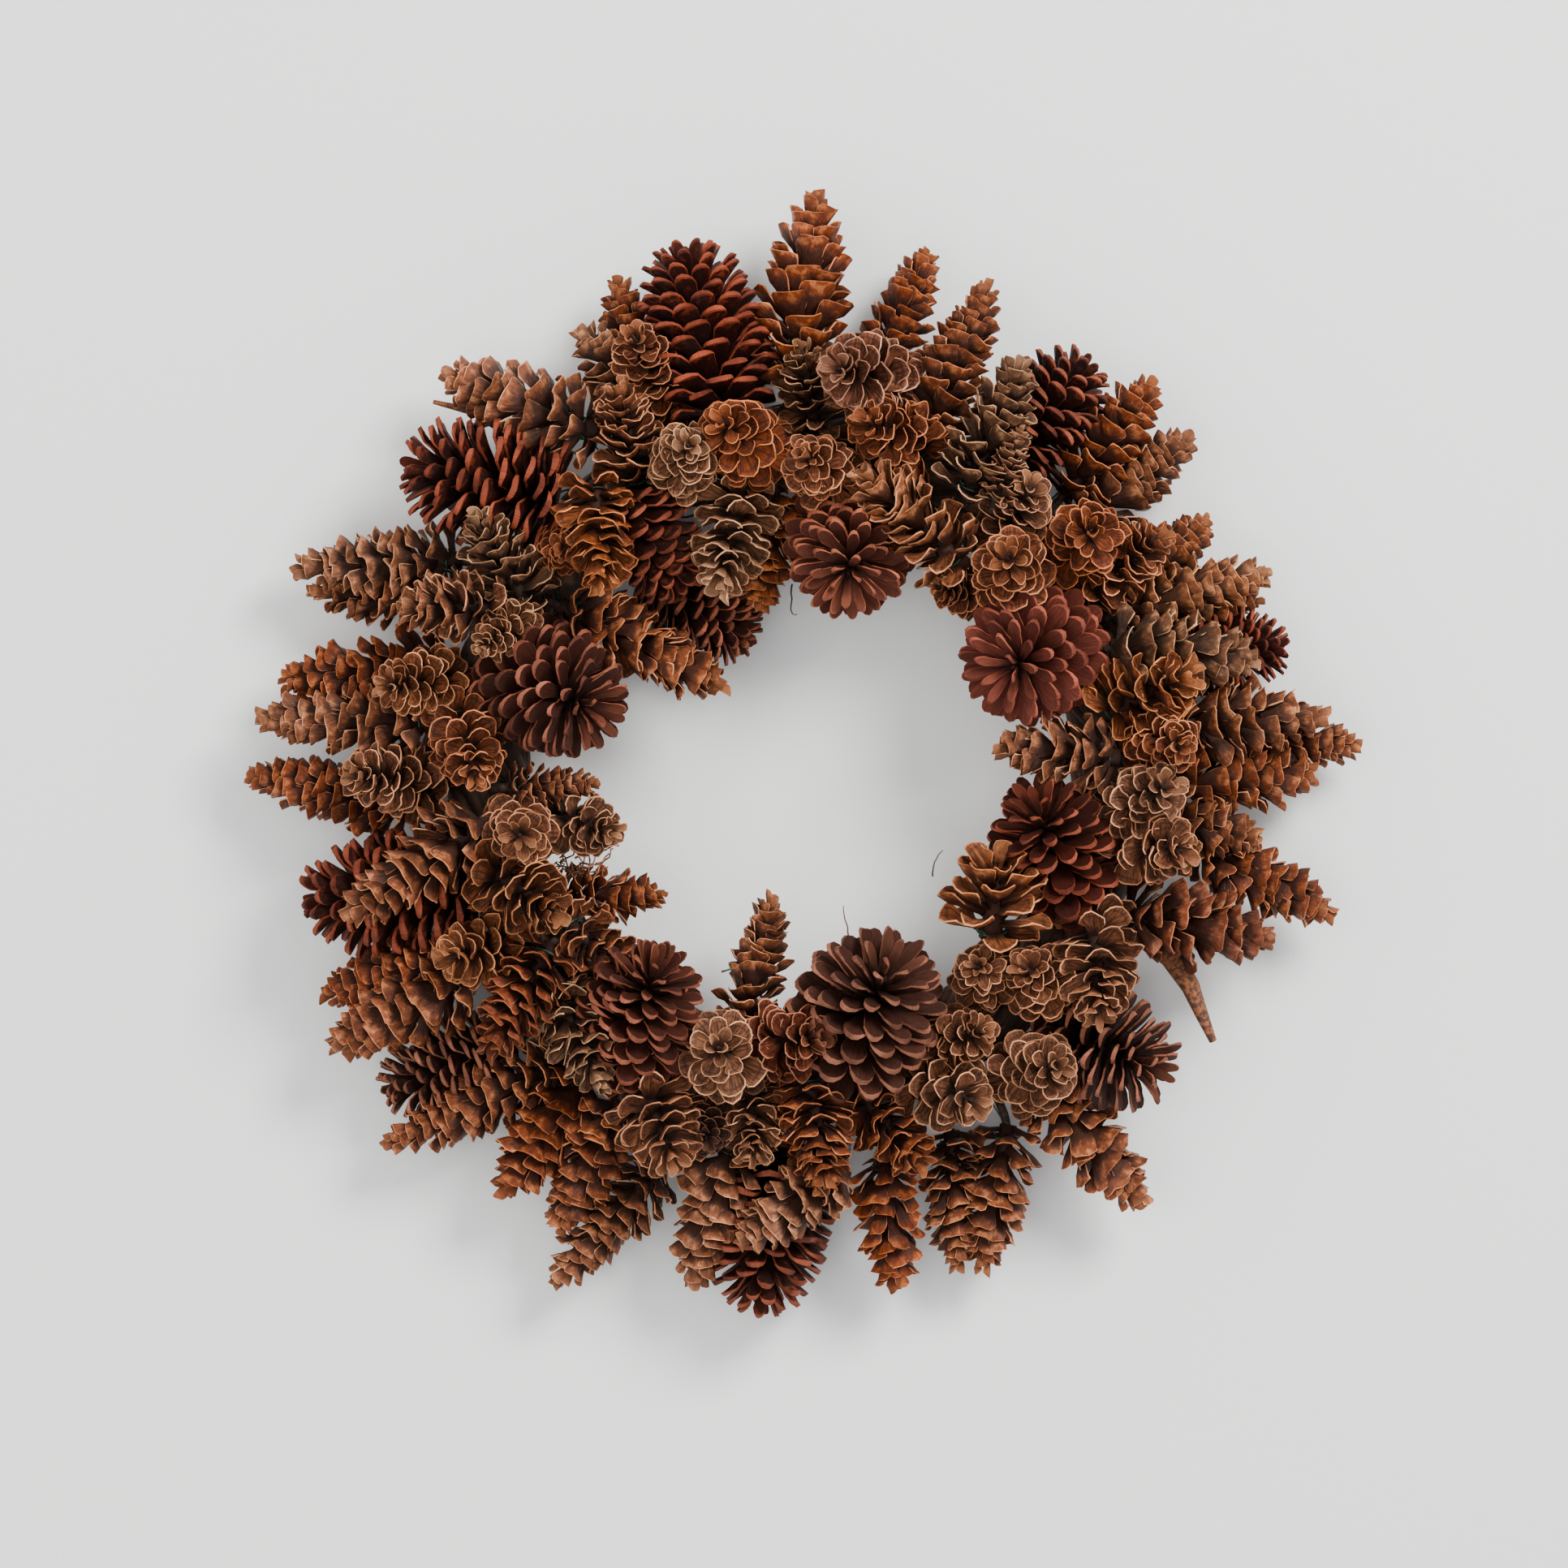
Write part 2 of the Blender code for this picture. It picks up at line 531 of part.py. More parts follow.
def keep_outer_shell(data):
    """Fills hollows that joining has sealed and drops scraps: only the largest shell stays."""
    mesh = bmesh.new()
    mesh.from_mesh(data)
    left = set(mesh.verts)
    shells = []
    while left:
        shell = {left.pop()}
        edge_of_shell = list(shell)
        while edge_of_shell:
            corner = edge_of_shell.pop()
            for edge in corner.link_edges:
                neighbour = edge.other_vert(corner)
                if neighbour in left:
                    left.remove(neighbour)
                    shell.add(neighbour)
                    edge_of_shell.append(neighbour)
        shells.append(shell)
    largest = max(shells, key=len)
    spare = [corner for corner in mesh.verts if corner not in largest]
    bmesh.ops.delete(mesh, geom=spare, context="VERTS")
    mesh.to_mesh(data)
    mesh.free()


def fuse(name, meshes, collection):
    """Joins the cones of one bunch into one body."""
    first = bpy.data.objects.new(name, meshes[0])
    collection.objects.link(first)
    if len(meshes) == 1:
        return first
    mates = bpy.data.collections.new(name + "_mates")
    bpy.context.scene.collection.children.link(mates)
    for mesh in meshes[1:]:
        mates.objects.link(bpy.data.objects.new(mesh.name, mesh))
    union = first.modifiers.new("bunch", "BOOLEAN")
    union.operation = "UNION"
    union.operand_type = "COLLECTION"
    union.collection = mates
    union.solver = "EXACT"
    bpy.context.view_layer.update()
    evaluated = first.evaluated_get(bpy.context.evaluated_depsgraph_get())
    joined = bpy.data.meshes.new_from_object(evaluated)
    first.modifiers.clear()
    keep_outer_shell(joined)
    first.data = joined
    for mate in list(mates.objects):
        bpy.data.objects.remove(mate, do_unlink=True)
    bpy.data.collections.remove(mates)
    return first


def make_cones(collection):
    bunches = [("slim_cones", number, bunch) for number, bunch in enumerate(SLIM_BUNCHES, 1)]
    bunches += [("broad_cone", number, bunch) for number, bunch in enumerate(BROAD_BUNCHES, 1)]
    bunch_of = np.array([place for place, (_, _, bunch) in enumerate(bunches) for _ in bunch])
    cones = [cone for _, _, bunch in bunches for cone in bunch]
    radii = np.array([cone[2] / 2.0 for cone in cones])
    roots, tips = settle(
        np.array([cone[0] for cone in cones], dtype=float),
        np.array([cone[1] for cone in cones], dtype=float),
        radii,
        bunch_of,
    )
    draws = np.random.default_rng(SEED)
    spaces = [clear_of_cones(k, roots, tips, radii, bunch_of) for k in range(len(cones))]
    vine = vine_surface()
    wires = wire_lengths()
    colours = {}
    index = 0
    for kind, number, bunch in bunches:
        slim = kind == "slim_cones"
        name = f"{kind}_{number:02d}"
        meshes = []
        for _, _, width, _ in bunch:
            whorls = BROAD_WHORLS
            if slim:
                whorls = SMALL_WHORLS if width < SMALL_WIDTH else SLIM_WHORLS
            meshes.append(
                cone_mesh(
                    f"{name}_{len(meshes)}",
                    roots[index],
                    tips[index],
                    radii[index],
                    SLIM_PETALS if slim else BROAD_PETALS,
                    whorls,
                    join_planes(spaces[index], clear_of_vine(index, roots, tips)),
                    towards_mate(index, roots, tips, radii, bunch_of, whorls),
                    draws,
                )
            )
            index += 1
        members = list(range(index - len(bunch), index))
        meshes += mate_stalks(name, members, roots, tips)
        meshes += seat_on_vine(name, members, roots, tips, spaces, vine, wires)
        made = fuse(name, meshes, collection)
        tone = bunch[0][3]
        if (kind, tone) not in colours:
            colour = SLIM_COLOURS[tone] if slim else BROAD_COLOUR
            colours[kind, tone] = material(f"{kind}_{tone}", colour, CONE_ROUGHNESS)
        made.data.materials.clear()
        made.data.materials.append(colours[kind, tone])


def make_vine_ring(collection):
    bpy.ops.mesh.primitive_torus_add(
        major_segments=RING_STEPS,
        minor_segments=VINE_SIDES,
        major_radius=RING_RADIUS * MM,
        minor_radius=VINE_RADIUS * MM,
        location=world((0.0, 0.0, VINE_HEIGHT)),
        rotation=(math.radians(90.0), 0.0, 0.0),
    )
    ring = bpy.context.active_object
    ring.name = "vine_ring"
    ring.data.materials.append(material("vine", VINE_COLOUR, VINE_ROUGHNESS))
    ring.data.shade_smooth()
    for old in list(ring.users_collection):
        old.objects.unlink(ring)
    collection.objects.link(ring)


def wire(name, points, radius, sides_step, wire_material, collection):
    """A wire along straight steps, with closed ends."""
    curve = bpy.data.curves.new(name, "CURVE")
    curve.dimensions = "3D"
    curve.bevel_depth = radius * MM
    curve.bevel_resolution = sides_step
    curve.use_fill_caps = True
    spline = curve.splines.new("POLY")
    spline.points.add(len(points) - 1)
    for point, place in zip(spline.points, world(points)):
        point.co = (*place, 1.0)
    curve.materials.append(wire_material)
    made = bpy.data.objects.new(name, curve)
    collection.objects.link(made)


def round_the_vine(turn, winding, reach):
    """A place on a circle of the given reach round the vine, at an angle round the ring."""
    across = RING_RADIUS + reach * math.cos(winding)
    return (
        across * math.cos(turn),
        across * math.sin(turn),
        VINE_HEIGHT + reach * math.sin(winding),
    )


def binding_route():
    """Turn after turn round the vine, from one side of the hanging loop to the other."""
    reach = VINE_RADIUS + BINDING_CLEARANCE + BINDING_RADIUS
    steps = BINDING_TURNS * STEPS_PER_TURN
    points = []
    for k in range(steps + 1):
        turn = math.radians(BINDING_START + BINDING_SWEEP * k / steps)
        winding = 2.0 * math.pi * k / STEPS_PER_TURN
        points.append(round_the_vine(turn, winding, reach))
    return points


def loop_route():
    """Hooked round the vine, up its back in two legs and round in an eye."""
    reach = VINE_RADIUS + BINDING_CLEARANCE + LOOP_RADIUS
    corner = 2.0 * math.pi / VINE_SIDES
    hook = [round_the_vine(math.pi / 2.0, corner * k, reach) for k in (2, 3, 4, 5, 6, 7)]
    leg = [(LEG_SPREAD, up, off) for _, up, off in hook] + [(LEG_SPREAD, NECK_TOP, LOOP_HEIGHT)]
    eye_centre = HANG_DROP + LOOP_RADIUS - EYE_RADIUS
    eye = []
    for k in range(EYE_STEPS + 1):
        share = k / EYE_STEPS
        angle = math.radians(-90.0 + EYE_OPENING + (360.0 - 2.0 * EYE_OPENING) * share)
        eye.append((EYE_RADIUS * math.cos(angle), eye_centre + EYE_RADIUS * math.sin(angle), LOOP_HEIGHT))
    other_leg = [(-across, up, off) for across, up, off in reversed(leg)]
    return leg + eye + other_leg


def wire_lengths():
    """The straight lengths of both wires, with their radii."""
    routes = ((binding_route(), BINDING_RADIUS), (loop_route(), LOOP_RADIUS))
    starts = np.vstack([route[:-1] for route, _ in routes])
    ends = np.vstack([route[1:] for route, _ in routes])
    radii = np.concatenate([np.full(len(route) - 1, radius) for route, radius in routes])
    return starts, ends, radii


def main():
    clear_scene()
    collection = parts_collection()
    make_vine_ring(collection)
    green = material("green_wire", BINDING_COLOUR, *BINDING_FINISH)
    wire("binding_wire", binding_route(), BINDING_RADIUS, 0, green, collection)
    steel = material("loop_wire", LOOP_COLOUR, *LOOP_FINISH)
    wire("hanging_loop", loop_route(), LOOP_RADIUS, 1, steel, collection)
    make_cones(collection)


main()
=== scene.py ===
"""The looks of a wreath of open pine cones on a ring of vine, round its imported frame.

Shapes are made in millimetres from the wreath's centre, as (right, up, off the wall), and
are placed in the frame, where the wall is y = 0, the wreath faces -Y and a metre is one unit.
"""

import math

import bpy
import numpy as np
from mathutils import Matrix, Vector


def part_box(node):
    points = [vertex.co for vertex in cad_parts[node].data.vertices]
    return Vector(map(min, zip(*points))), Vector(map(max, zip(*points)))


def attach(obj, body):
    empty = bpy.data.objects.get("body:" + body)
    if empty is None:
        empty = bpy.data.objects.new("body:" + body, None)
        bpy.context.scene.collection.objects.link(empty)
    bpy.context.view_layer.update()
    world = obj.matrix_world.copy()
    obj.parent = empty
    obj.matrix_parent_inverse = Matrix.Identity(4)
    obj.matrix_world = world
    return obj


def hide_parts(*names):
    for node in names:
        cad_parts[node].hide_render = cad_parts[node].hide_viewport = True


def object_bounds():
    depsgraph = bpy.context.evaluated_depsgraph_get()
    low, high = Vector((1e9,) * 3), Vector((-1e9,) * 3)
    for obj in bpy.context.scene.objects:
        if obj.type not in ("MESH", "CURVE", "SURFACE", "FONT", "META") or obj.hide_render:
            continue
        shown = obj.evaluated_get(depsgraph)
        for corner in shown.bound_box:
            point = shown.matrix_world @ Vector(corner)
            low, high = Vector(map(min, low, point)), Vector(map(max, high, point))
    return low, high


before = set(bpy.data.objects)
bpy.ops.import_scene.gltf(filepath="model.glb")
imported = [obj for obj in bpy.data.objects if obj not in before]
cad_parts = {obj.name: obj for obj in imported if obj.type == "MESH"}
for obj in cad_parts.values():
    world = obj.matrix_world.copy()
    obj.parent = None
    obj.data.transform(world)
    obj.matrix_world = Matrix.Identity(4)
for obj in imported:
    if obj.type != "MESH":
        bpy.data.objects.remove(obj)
packed_box = [list(corner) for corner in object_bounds()]


# The vine ring
# Stems of wild vine, wound round each other while green into a ring and left to dry, with
# thin bark fibres still clinging. Every cone is wired to it, so little of it shows in front.

MM = 0.001
vine_low, vine_high = (np.array(corner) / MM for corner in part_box("vine_ring"))
WREATH_CENTRE_DROP = -(vine_low[2] + vine_high[2]) / 2.0
VINE_RADIUS = (vine_high[1] - vine_low[1]) / 2.0
VINE_HEIGHT = -(vine_low[1] + vine_high[1]) / 2.0
RING_RADIUS = (vine_high[0] - vine_low[0]) / 2.0 - VINE_RADIUS

# Each layer of the ring: how its stems wind and wander, and how finely they are made
LAYER_VALUES = ("Strands", "Turns", "Reach", "Girth", "Wander", "Steps", "Sides")
STEMS = (8, 5, 14.6, 7.6, 0.14, 150, 8)
THIN_STEMS = (4, 5, 20.6, 2.6, 0.14, 150, 6)
BARK_FIBRES = (3, -4, 22.4, 0.6, 0.10, 240, 3)
STEM_WANDER_SCALE = 0.02  # of the wandering's noise, per millimetre
STEM_NOISE_STEP = 531.0  # from one stem's place in the noise to the next one's
GIRTH_SPREAD = 0.35
VINE_SEED = 3
BARK_DARK = (0.014, 0.006, 0.003)
BARK_MID = (0.060, 0.024, 0.010)
BARK_LIGHT = (0.130, 0.062, 0.030)

# What strays from the ring: rootlets at the left of the hole, then a few lone fibres, each as
# its start, heading, length and girth
ROOTLETS = 26
ROOTLET_START = (-124.0, -54.0, 56.0)
ROOTLET_SPREAD = (8.0, 9.0, 8.0)
ROOTLET_RADIUS = 0.45
ROOTLET_COLOURS = ((0.10, 0.036, 0.018), (0.36, 0.16, 0.085))
STRAY_FIBRES = (
    ((-4.0, 92.0, 40.0), (0.1, -1.0, 0.3), 24.0, 0.5),
    ((26.0, -96.0, 60.0), (0.2, 1.0, 0.3), 20.0, 0.5),
    ((70.0, -62.0, 55.0), (0.3, 1.0, 0.2), 16.0, 0.5),
    ((88.0, -222.0, 40.0), (0.5, -1.0, 0.3), 34.0, 0.4),
)
FIBRE_STEPS = 8

# Two bits of split stem, each as its route and its girth where it leaves the ring
SPLIT_STEMS = (
    ((
        (174.0, -86.0, 34.0), (196.0, -104.0, 42.0), (206.0, -120.0, 44.0), (212.0, -135.0, 44.0),
        (218.0, -149.0, 42.0),
    ), 8.0),
    (((-128.0, 158.0, 34.0), (-152.0, 172.0, 40.0), (-172.0, 183.0, 44.0), (-193.0, 188.0, 47.0)), 4.6),
)
SPLIT_STEM_TAPER = 0.75
SPLIT_STEM_COLOURS = ((0.045, 0.014, 0.006), (0.215, 0.066, 0.018))


class Value:
    """What a node gives. Plain sums can be done with it, each of which adds a node."""

    def __init__(self, socket):
        self.socket = socket
        self.tree = socket.id_data

    def also(self, name):
        """Another thing that the same node gives."""
        return Value(self.socket.node.outputs[name])

    def __add__(self, other):
        return calc("ADD", self, other)

    def __sub__(self, other):
        return calc("SUBTRACT", self, other)

    def __rsub__(self, other):
        return calc("SUBTRACT", other, self)

    def __mul__(self, other):
        return calc("MULTIPLY", self, other)

    def __truediv__(self, other):
        return calc("DIVIDE", self, other)


def feed(made, inputs):
    """Gives a node's inputs plain values, or what other nodes give."""
    for socket, value in inputs.items():
        if isinstance(value, Value):
            made.id_data.links.new(value.socket, made.inputs[socket])
        else:
            made.inputs[socket].default_value = value


def node(tree, kind, inputs=None, output=0, **settings):
    """What a new node gives, with its settings and its inputs."""
    made = tree.nodes.new(kind)
    for setting, value in settings.items():
        setattr(made, setting, value)
    feed(made, inputs or {})
    return Value(made.outputs[output])


def tree_of(values):
    """The tree of the first of some values that a node gives."""
    return next(value.tree for value in values if isinstance(value, Value))


def calc(operation, *values):
    return node(tree_of(values), "ShaderNodeMath", dict(enumerate(values)), operation=operation)


def join_xyz(*parts):
    return node(tree_of(parts), "ShaderNodeCombineXYZ", dict(enumerate(parts)))


def split(vector):
    """A vector's three parts."""
    x = node(vector.tree, "ShaderNodeSeparateXYZ", {0: vector})
    return x, x.also("Y"), x.also("Z")


def moved_by(vector, step):
    return node(vector.tree, "ShaderNodeVectorMath", {0: vector, 1: step}, operation="ADD")


def scaled(vector, share):
    return node(vector.tree, "ShaderNodeVectorMath", {0: vector, 3: share}, operation="SCALE")


def node_group(name, kind, inputs, outputs):
    """An empty group of nodes, and what its named inputs give."""
    tree = bpy.data.node_groups.new(name, kind)
    for side, sockets in (("OUTPUT", outputs), ("INPUT", inputs)):
        for label, socket_kind in sockets.items():
            tree.interface.new_socket(label, in_out=side, socket_type="NodeSocket" + socket_kind)
    given = tree.nodes.new("NodeGroupInput").outputs
    return tree, {socket.name: Value(socket) for socket in given}


def grower(name, inputs):
    """An empty tree that grows geometry, and what its inputs give."""
    return node_group(name, "GeometryNodeTree", inputs, {"Geometry": "Geometry"})


def finish_grower(geometry, finish):
    """Ends a tree with real geometry in its material, shaded smooth."""
    real = node(geometry.tree, "GeometryNodeRealizeInstances", {"Geometry": geometry})
    smooth = node(geometry.tree, "GeometryNodeSetShadeSmooth", {"Geometry": real})
    painted = node(geometry.tree, "GeometryNodeSetMaterial", {"Geometry": smooth, "Material": finish})
    feed(geometry.tree.nodes.new("NodeGroupOutput"), {0: painted})


def mark(geometry, name, value, kind="FLOAT_VECTOR"):
    """Geometry whose points carry a value under a name."""
    inputs = {"Geometry": geometry, "Name": name, "Value": value}
    return node(geometry.tree, "GeometryNodeStoreNamedAttribute", inputs, data_type=kind, domain="POINT")


def grown(tree, values):
    """The plain mesh that a tree makes with the given values."""
    host = bpy.data.objects.new("host", bpy.data.meshes.new("host"))
    bpy.context.scene.collection.objects.link(host)
    modifier = host.modifiers.new("grow", "NODES")
    modifier.node_group = tree
    for socket in tree.interface.items_tree:
        if socket.in_out == "INPUT":
            modifier[socket.identifier] = values[socket.name]
    view = bpy.context.evaluated_depsgraph_get()
    grown_host = host.evaluated_get(view)
    mesh = bpy.data.meshes.new_from_object(grown_host, preserve_all_data_layers=True, depsgraph=view)
    bpy.data.objects.remove(host, do_unlink=True)
    return mesh


def mesh_points(mesh):
    points = np.empty(3 * len(mesh.vertices))
    mesh.vertices.foreach_get("co", points)
    return points.reshape(-1, 3)


def put_in_frame(mesh, points):
    """Gives a mesh its place in the frame, from points measured from the wreath's centre."""
    across, up, off_wall = np.asarray(points, dtype=float).T
    placed = np.stack((across, -off_wall, up - WREATH_CENTRE_DROP), axis=-1) * MM
    inside = np.clip(placed, *np.array(packed_box))
    mesh.vertices.foreach_set("co", inside.ravel())
    mesh.update()


def one_piece(name, meshes):
    """Joins meshes into one object at the origin, each with its own materials."""
    parts = [bpy.data.objects.new(name, mesh) for mesh in meshes]
    for part in parts:
        bpy.context.scene.collection.objects.link(part)
    if len(parts) > 1:
        chosen = {"active_object": parts[0], "object": parts[0]}
        chosen |= {"selected_objects": parts, "selected_editable_objects": parts}
        with bpy.context.temp_override(**chosen):
            bpy.ops.object.join()
    parts[0].name = name
    return parts[0]


def twisted_stems():
    """Stems that wind round the ring's own circle, side by side and at their own thickness."""
    inputs = {"Ring radius": "Float", "Strands": "Int", "Turns": "Int", "Reach": "Float", "Girth": "Float"}
    inputs |= {"Wander": "Float", "Steps": "Int", "Sides": "Int", "Seed": "Int", "Finish": "Material"}
    tree, given = grower("twisted_stems", inputs)
    circle = {"Resolution": given["Steps"], "Radius": given["Ring radius"]}
    circle = node(tree, "GeometryNodeCurvePrimitiveCircle", circle)
    copies = {"Geometry": circle, "Amount": given["Strands"]}
    copies = node(tree, "GeometryNodeDuplicateElements", copies, "Geometry", domain="SPLINE")
    number = copies.also("Duplicate Index")
    here = node(tree, "GeometryNodeInputPosition")
    x, y, _ = split(here)
    angle = calc("ARCTAN2", y, x)

    apart = moved_by(here, join_xyz(0.0, 0.0, number * STEM_NOISE_STEP + given["Seed"]))
    noise = node(tree, "ShaderNodeTexNoise", {"Vector": apart, "Scale": STEM_WANDER_SCALE}, "Color")
    turn_drift, reach_drift, girth_drift = (part * 2.0 - 1.0 for part in split(noise))
    winding = angle * given["Turns"] + (number / given["Strands"] * math.tau + turn_drift)
    reach = given["Reach"] * (reach_drift * given["Wander"] + 1.0)
    out = calc("COSINE", winding) * reach + given["Ring radius"]
    place = join_xyz(calc("COSINE", angle) * out, calc("SINE", angle) * out, calc("SINE", winding) * reach)

    stems = mark(copies, "stem", join_xyz(angle, number, girth_drift))
    stems = node(tree, "GeometryNodeSetPosition", {"Geometry": stems, "Position": place})
    girth_here = given["Girth"] * (girth_drift * GIRTH_SPREAD + 1.0)
    stems = node(tree, "GeometryNodeSetCurveRadius", {"Curve": stems, "Radius": girth_here})
    section = {"Resolution": given["Sides"], "Radius": 1.0}
    section = node(tree, "GeometryNodeCurvePrimitiveCircle", section)
    section = mark(section, "around", node(tree, "GeometryNodeSplineParameter", output="Factor"), "FLOAT")
    skin = {"Curve": stems, "Profile Curve": section, "Scale": node(tree, "GeometryNodeInputRadius")}
    finish_grower(node(tree, "GeometryNodeCurveToMesh", skin), given["Finish"])
    return tree


def new_material(name):
    """A material, its tree and the shader that is all there is in it."""
    made = bpy.data.materials.new(name)
    made.use_nodes = True
    return made, made.node_tree, made.node_tree.nodes["Principled BSDF"]


def read(tree, attribute, output="Vector"):
    return node(tree, "ShaderNodeAttribute", output=output, attribute_name=attribute)


def object_place(tree):
    return node(tree, "ShaderNodeTexCoord", output="Object")


def noise_at(vector, scale, detail):
    inputs = {"Vector": vector, "Scale": scale, "Detail": detail}
    return node(vector.tree, "ShaderNodeTexNoise", inputs, "Fac")


def ramp(value, low, high, start=0.0, end=1.0):
    """A smooth step from start to end as the value goes from low to high."""
    inputs = {"Value": value, "From Min": low, "From Max": high, "To Min": start, "To Max": end}
    return node(value.tree, "ShaderNodeMapRange", inputs, interpolation_type="SMOOTHSTEP")


def blend_colour(share, *colours):
    """Two colours mixed by a share of the second."""
    one, other = (colour if isinstance(colour, Value) else (*colour, 1.0) for colour in colours)
    return node(share.tree, "ShaderNodeMix", {0: share, 6: one, 7: other}, 2, data_type="RGBA")


def bump(height, strength, distance):
    inputs = {"Strength": strength, "Distance": distance, "Height": height}
    return node(height.tree, "ShaderNodeBump", inputs)


def wire_mesh(name, route, radius, finish, sides=6, taper=0.0):
    """A round strand through the points of a route, thinner towards its end by the taper."""
    curve = bpy.data.curves.new(name, "CURVE")
    curve.dimensions = "3D"
    curve.bevel_depth = radius
    curve.bevel_resolution = (sides - 4) // 2
    curve.use_fill_caps = True
    spline = curve.splines.new("POLY")
    spline.points.add(len(route) - 1)
    for step, (point, place) in enumerate(zip(spline.points, route)):
        point.co = (*place, 1.0)
        point.radius = 1.0 - taper * step / (len(route) - 1)
    curve.materials.append(finish)
    holder = bpy.data.objects.new(name, curve)
    bpy.context.scene.collection.objects.link(holder)
    view = bpy.context.evaluated_depsgraph_get()
    mesh = bpy.data.meshes.new_from_object(holder.evaluated_get(view))
    bpy.data.objects.remove(holder, do_unlink=True)
    mesh.shade_smooth()
    put_in_frame(mesh, mesh_points(mesh))
    return mesh


def unit(vectors):
    return vectors / np.linalg.norm(vectors, axis=-1, keepdims=True)


def stray(draws, start, heading, steps, stride, curl):
    """The route of a fibre that strays from a place, curling as it goes."""
    route = [np.array(start)]
    heading = unit(np.array(heading))
    for _ in range(steps):
        heading = unit(heading + draws.normal(0.0, curl, 3))
        route.append(route[-1] + heading * stride)
    return route


def bark_material():
    """Dark bark in ridges along each stem, worn paler in patches."""
    made, tree, shader = new_material("vine bark")
    angle, number, _ = split(read(tree, "stem"))
    turn = read(tree, "around", "Fac") * math.tau
    ridges = join_xyz(calc("COSINE", turn) * 3.0, calc("SINE", turn) * 3.0 + number * 7.3, angle * 5.0)
    strips = noise_at(ridges, 2.4, 5.0)
    patches = noise_at(object_place(tree), 90.0, 3.0)
    colour = blend_colour(ramp(strips, 0.35, 0.62), BARK_DARK, BARK_MID)
    colour = blend_colour(ramp(patches, 0.50, 0.72, 0.0, 0.75), colour, BARK_LIGHT)
    feed(shader, {"Base Color": colour, "Roughness": 0.85, "Normal": bump(strips, 0.8, 0.0012)})
    return made


def plain_wood(name, dark, light):
    """Wood or fine bark in a grain of two colours."""
    made, tree, shader = new_material(name)
    grain = noise_at(object_place(tree), 420.0, 5.0)
    colour = blend_colour(ramp(grain, 0.38, 0.62), dark, light)
    feed(shader, {"Base Color": colour, "Roughness": 0.8, "Normal": bump(grain, 0.9, 0.0015)})
    return made


bark = bark_material()
split_wood = plain_wood("red-brown wood", *SPLIT_STEM_COLOURS)
rootlet_bark = plain_wood("rootlet bark", *ROOTLET_COLOURS)
stem_tree = twisted_stems()
vine_meshes = []
for layer, stems in enumerate((STEMS, THIN_STEMS, BARK_FIBRES)):
    ring_values = {"Ring radius": RING_RADIUS, "Seed": VINE_SEED + layer, "Finish": bark}
    ring_mesh = grown(stem_tree, ring_values | dict(zip(LAYER_VALUES, stems)))
    put_in_frame(ring_mesh, mesh_points(ring_mesh) + (0.0, 0.0, VINE_HEIGHT))
    vine_meshes.append(ring_mesh)
draws = np.random.default_rng(VINE_SEED)
for _ in range(ROOTLETS):
    start = ROOTLET_START + draws.normal(0.0, 0.5, 3) * ROOTLET_SPREAD
    route = stray(draws, start, (1.0, draws.uniform(-0.9, 0.6), 0.2), steps=9, stride=3.2, curl=0.45)
    vine_meshes.append(wire_mesh("rootlet", route, ROOTLET_RADIUS, rootlet_bark, sides=4))
for start, heading, length, thickness in STRAY_FIBRES:
    route = stray(draws, start, heading, FIBRE_STEPS, length / FIBRE_STEPS, curl=0.25)
    vine_meshes.append(wire_mesh("fibre", route, thickness, bark, sides=4, taper=0.5))
for route, thickness in SPLIT_STEMS:
    vine_meshes.append(wire_mesh("split_stem", route, thickness, split_wood, 8, SPLIT_STEM_TAPER))
vine = one_piece("twisted_vine", vine_meshes)
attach(vine, "root")
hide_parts("vine_ring")


# The hanging loop
# Stout bare steel wire, hooked round the vine at the top, brought up behind it in two legs
# and bent into an eye for the nail. It has dulled in the air.

LOOP_RADIUS = 0.8
LOOP_CLEARANCE = 0.8
LOOP_HEIGHT = 2.2
LEG_SPREAD = 1.7
NECK_TOP = 197.5
EYE_RADIUS = 6.8
EYE_OPENING = 25.0
HOOK_FROM, HOOK_TO = 90.0, 292.0  # degrees round the vine, from the front over its inner side
HOOK_STEPS = 26
EYE_STEPS = 40
LOOP_SIDES = 8
STEEL = (0.14, 0.135, 0.125)
STEEL_STAINED = (0.045, 0.030, 0.020)


def round_the_vine(turn, winding, reach):
    """A place at a reach from the vine's own centre, at an angle round the ring."""
    across = RING_RADIUS + reach * math.cos(winding)
    return across * math.cos(turn), across * math.sin(turn), VINE_HEIGHT + reach * math.sin(winding)


def wire_material(name, clean, worn, metallic, roughness):
    """Wire that is stained in patches and finely scratched."""
    made, tree, shader = new_material(name)
    here = object_place(tree)
    stains = noise_at(here, 260.0, 4.0)
    colour = blend_colour(ramp(stains, 0.46, 0.62), clean, worn)
    rough = ramp(stains, 0.35, 0.65, roughness, roughness + 0.25)
    scratches = bump(noise_at(here, 1400.0, 2.0), 0.25, 0.0002)
    feed(shader, {"Base Color": colour, "Roughness": rough, "Normal": scratches, "Metallic": metallic})
    return made


